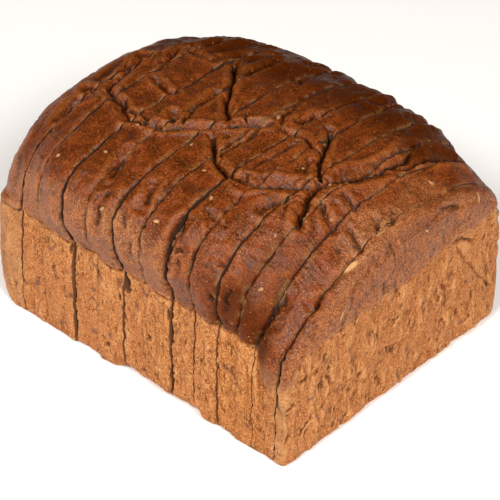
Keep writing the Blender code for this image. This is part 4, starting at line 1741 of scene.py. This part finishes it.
@dataclass
class SeedScatter:
    """Loose pale seeds baked on to the crust, and at least one on every slice."""

    form: LoafForm
    pieces: list[bpy.types.Object]
    material: bpy.types.Material
    length: float = 2.5
    width: float = 1.4
    height: float = 1.1
    sink: float = 0.15

    def places(self) -> list[tuple[float, float]]:
        """List where the seeds lie on the crust: those that show, then one more on each slice.

        Returns:
            (along, over) places.
        """
        chance = np.random.default_rng(12)
        found = list(SHOWN_SEEDS)
        for low, high in zip(CUTS[:-1], CUTS[1:]):
            place = (chance.uniform(low + 2.2, high - 2.2), chance.uniform(-88.0, 88.0))
            if all(math.dist(place, other) > 8.0 for other in found):
                found.append(place)
        return found

    def landing(self, along: float, over: float, trees: list[BVHTree]) -> tuple[Vector, Vector]:
        """Find where a seed comes to lie: drop it on to the pieces along the section's normal.

        Args:
            along: its place along the loaf.
            over: its place over the crust.
            trees: the pieces' faces.

        Returns:
            The point and the way out there, in the frame's metres.
        """
        ring, walk, _ = self.form.section(along)
        top = slice(0, self.form.crust_steps + 1)
        normals = self.form.outward(ring)[top]
        y, z = (float(np.interp(over, walk[top], ring[top, k])) for k in (0, 1))
        ny, nz = (float(np.interp(over, walk[top], normals[:, k])) for k in (0, 1))
        way = Vector((0.0, ny, nz)).normalized()
        start = (Vector((along, y, z)) - Vector(MIDDLE)) * MM + way * 0.02
        return self.first_hit(start, way, trees)

    @staticmethod
    def tree_of(piece: bpy.types.Object) -> BVHTree:
        """Sort a piece's faces for the search of landing places.

        Args:
            piece: the piece whose faces are sorted.

        Returns:
            The sorted faces.
        """
        faces = bmesh.new()
        faces.from_mesh(piece.data)
        tree = BVHTree.FromBMesh(faces)
        faces.free()
        return tree

    @staticmethod
    def first_hit(start: Vector, way: Vector, trees: list[BVHTree]) -> tuple[Vector, Vector]:
        """Give the nearest point and normal that a ray back along way meets.

        Args:
            start: a point outside the loaf.
            way: the direction from the loaf to it.
            trees: the pieces' faces.

        Returns:
            The point, and the way out of the loaf there.
        """
        hits = [tree.ray_cast(start, -way) for tree in trees]
        found = [hit for hit in hits if hit[0] is not None]
        nearest = min(found, key=lambda hit: hit[3])
        return nearest[0], (nearest[1] + way).normalized()

    def add_seed(self, mesh: bmesh.types.BMesh, spot: Vector, way: Vector, spin: float,
                 size: float) -> None:
        """Add one flattened drop to the mesh, lying at spot with its flat side along way.

        Args:
            mesh: the mesh of all the seeds.
            spot: where it lies.
            way: the way out of the loaf there.
            spin: how far it is turned about that way.
            size: its size, as a share of a usual seed's.
        """
        made = bmesh.ops.create_icosphere(mesh, subdivisions=2, radius=1.0)["verts"]
        for vert in made:
            taper = 1.0 - 0.32 * vert.co.x
            vert.co.y *= taper
            vert.co.z *= taper
        half = (self.length, self.width, self.height)
        scale = Matrix.Diagonal((*(side * size * MM / 2 for side in half), 1.0))
        turn = way.to_track_quat("Z", "X").to_matrix().to_4x4() @ Matrix.Rotation(spin, 4, "Z")
        spot = spot - way * self.sink * MM
        bmesh.ops.transform(mesh, matrix=Matrix.Translation(spot) @ turn @ scale, verts=made)

    def build(self) -> bpy.types.Object:
        """Model every seed and join them in one piece.

        Returns:
            The seeds, in one piece.
        """
        chance = np.random.default_rng(31)
        trees = [self.tree_of(piece) for piece in self.pieces]
        mesh = bmesh.new()
        for along, over in self.places():
            spot, way = self.landing(along, over, trees)
            self.add_seed(mesh, spot, way, chance.uniform(0, math.pi), chance.uniform(0.7, 1.15))
        for across, up in WALL_SEEDS:
            start = Vector(((RIGHT_END + 20.0), across, up)) - Vector(MIDDLE)
            spot, way = self.first_hit(start * MM, Vector((1.0, 0.0, 0.0)), trees)
            self.add_seed(mesh, spot, way, chance.uniform(0, math.pi), chance.uniform(0.7, 1.0))
        for along, up in FRONT_SEEDS:
            start = Vector((along, -TIN_WIDTH, up)) - Vector(MIDDLE)
            spot, way = self.first_hit(start * MM, Vector((0.0, -1.0, 0.0)), trees)
            self.add_seed(mesh, spot, way, 1.4, 1.0)
        piece = finished("seeds", mesh, [self.material])
        piece.data.shade_smooth()
        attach(piece, BODY)
        log.info("seeds: %d faces", len(piece.data.polygons))
        return piece


@dataclass
class Studio:
    """The pale floor, soft lights and the camera."""

    azimuth: float = 42.61
    elevation: float = 36.41
    distance: float = 0.999
    focal_px: float = 2641.3
    frame_px: int = 500
    target: tuple[float, float, float] = (0.74, 0.74, 45.0)
    target_px: tuple[float, float] = (246.5, 211.3)
    boxes_away: float = 1.5

    def build(self) -> None:
        """Set up everything around the loaf."""
        self.add_floor()
        self.add_camera()
        self.add_lights()

    def add_floor(self) -> None:
        """Lay a wide, plain pale floor under the loaf."""
        mesh = bmesh.new()
        bmesh.ops.create_grid(mesh, x_segments=1, y_segments=1, size=6.0)
        finish = Finish("matt_paper_floor")
        finish.set_shader(Base_Color=linear("#F7F6F4"), Roughness=0.9, Emission_Strength=0.12,
                          Emission_Color=linear("#FFFFFF"))
        floor = finished("floor", mesh, [finish.material])
        floor.location.z = -0.0002

    def add_camera(self) -> None:
        """Place the camera where the photo was taken from, aimed so that it needs no shift."""
        turn = math.radians(self.azimuth)
        back = direction(self.azimuth, self.elevation)
        right = Vector((math.cos(turn), math.sin(turn), 0.0))
        up = back.cross(right)
        target = Vector(self.target) * MM
        place = target + back * self.distance
        half = self.frame_px / 2
        off_right = (half - self.target_px[0]) / self.focal_px * self.distance
        off_up = (self.target_px[1] - half) / self.focal_px * self.distance
        look = place - (target + right * off_right + up * off_up)
        data = bpy.data.cameras.new("camera")
        data.lens = self.focal_px / self.frame_px * data.sensor_width
        camera = bpy.data.objects.new("camera", data)
        camera.location = place
        camera.rotation_euler = look.to_track_quat("Z", "Y").to_euler()
        bpy.context.scene.collection.objects.link(camera)
        bpy.context.scene.camera = camera

    def add_area(self, name: str, azimuth: float, elevation: float, size: float,
                 watts: float, colour: str = "#FFFFFF") -> None:
        """Hang a square soft box that looks at the loaf.

        Args:
            name: the light's name.
            azimuth: degrees round the loaf from its front.
            elevation: degrees above the floor.
            size: the side of the box, in metres.
            watts: its power.
            colour: its hex colour.
        """
        back = direction(azimuth, elevation)
        data = bpy.data.lights.new(name, "AREA")
        data.size = size
        data.energy = watts
        data.color = linear(colour)[:3]
        light = bpy.data.objects.new(name, data)
        light.location = back * self.boxes_away + Vector((0, 0, 0.05))
        light.rotation_euler = back.to_track_quat("Z", "Y").to_euler()
        bpy.context.scene.collection.objects.link(light)

    def add_lights(self) -> None:
        """Light the loaf from in front and above, with low boxes left and right for the sheen."""
        self.add_area("front_box", 12, 48, 0.35, 14)
        self.add_area("left_box", -43, 36, 0.45, 2)
        self.add_area("right_box", 62, 42, 0.35, 15.5)
        self.add_area("low_left_box", -36, 13, 0.75, 6.5, "#FFEFDF")
        self.add_area("low_right_box", 102, 13, 0.75, 6.5, "#FFEFDF")
        world = bpy.data.worlds.new("pale_room")
        world.use_nodes = True
        world.node_tree.nodes["Background"].inputs["Color"].default_value = linear("#FFE9D2")
        world.node_tree.nodes["Background"].inputs["Strength"].default_value = 0.11
        bpy.context.scene.world = world
        bpy.context.scene.view_settings.view_transform = "Standard"


def main() -> None:
    """Build the loaf's pieces in order, then the studio."""
    logging.basicConfig(level=logging.INFO, format="%(name)s: %(message)s")
    form = LoafForm()
    relief = Relief(form)
    skins = [BakedCrust().make(), SawnCrumb().make(), SawnRind().make()]
    pieces = [LoafHeel("heel_left", form, relief, skins, 40, end=End.LEFT).build()]
    for number in range(len(CUTS) - 1):
        name = f"slice_{number + 1:02d}"
        pieces.append(LoafSlice(name, form, relief, skins, 50 + number, number=number).build())
    pieces.append(LoafHeel("heel_right", form, relief, skins, 70, end=End.RIGHT).build())
    pale = SeedCoat("toasted_pale_seed", "#8A5C34", "#B88B5A", 0.6).make()
    SeedScatter(form, pieces, pale).build()
    Studio().build()


if __name__ == "__main__":
    main()
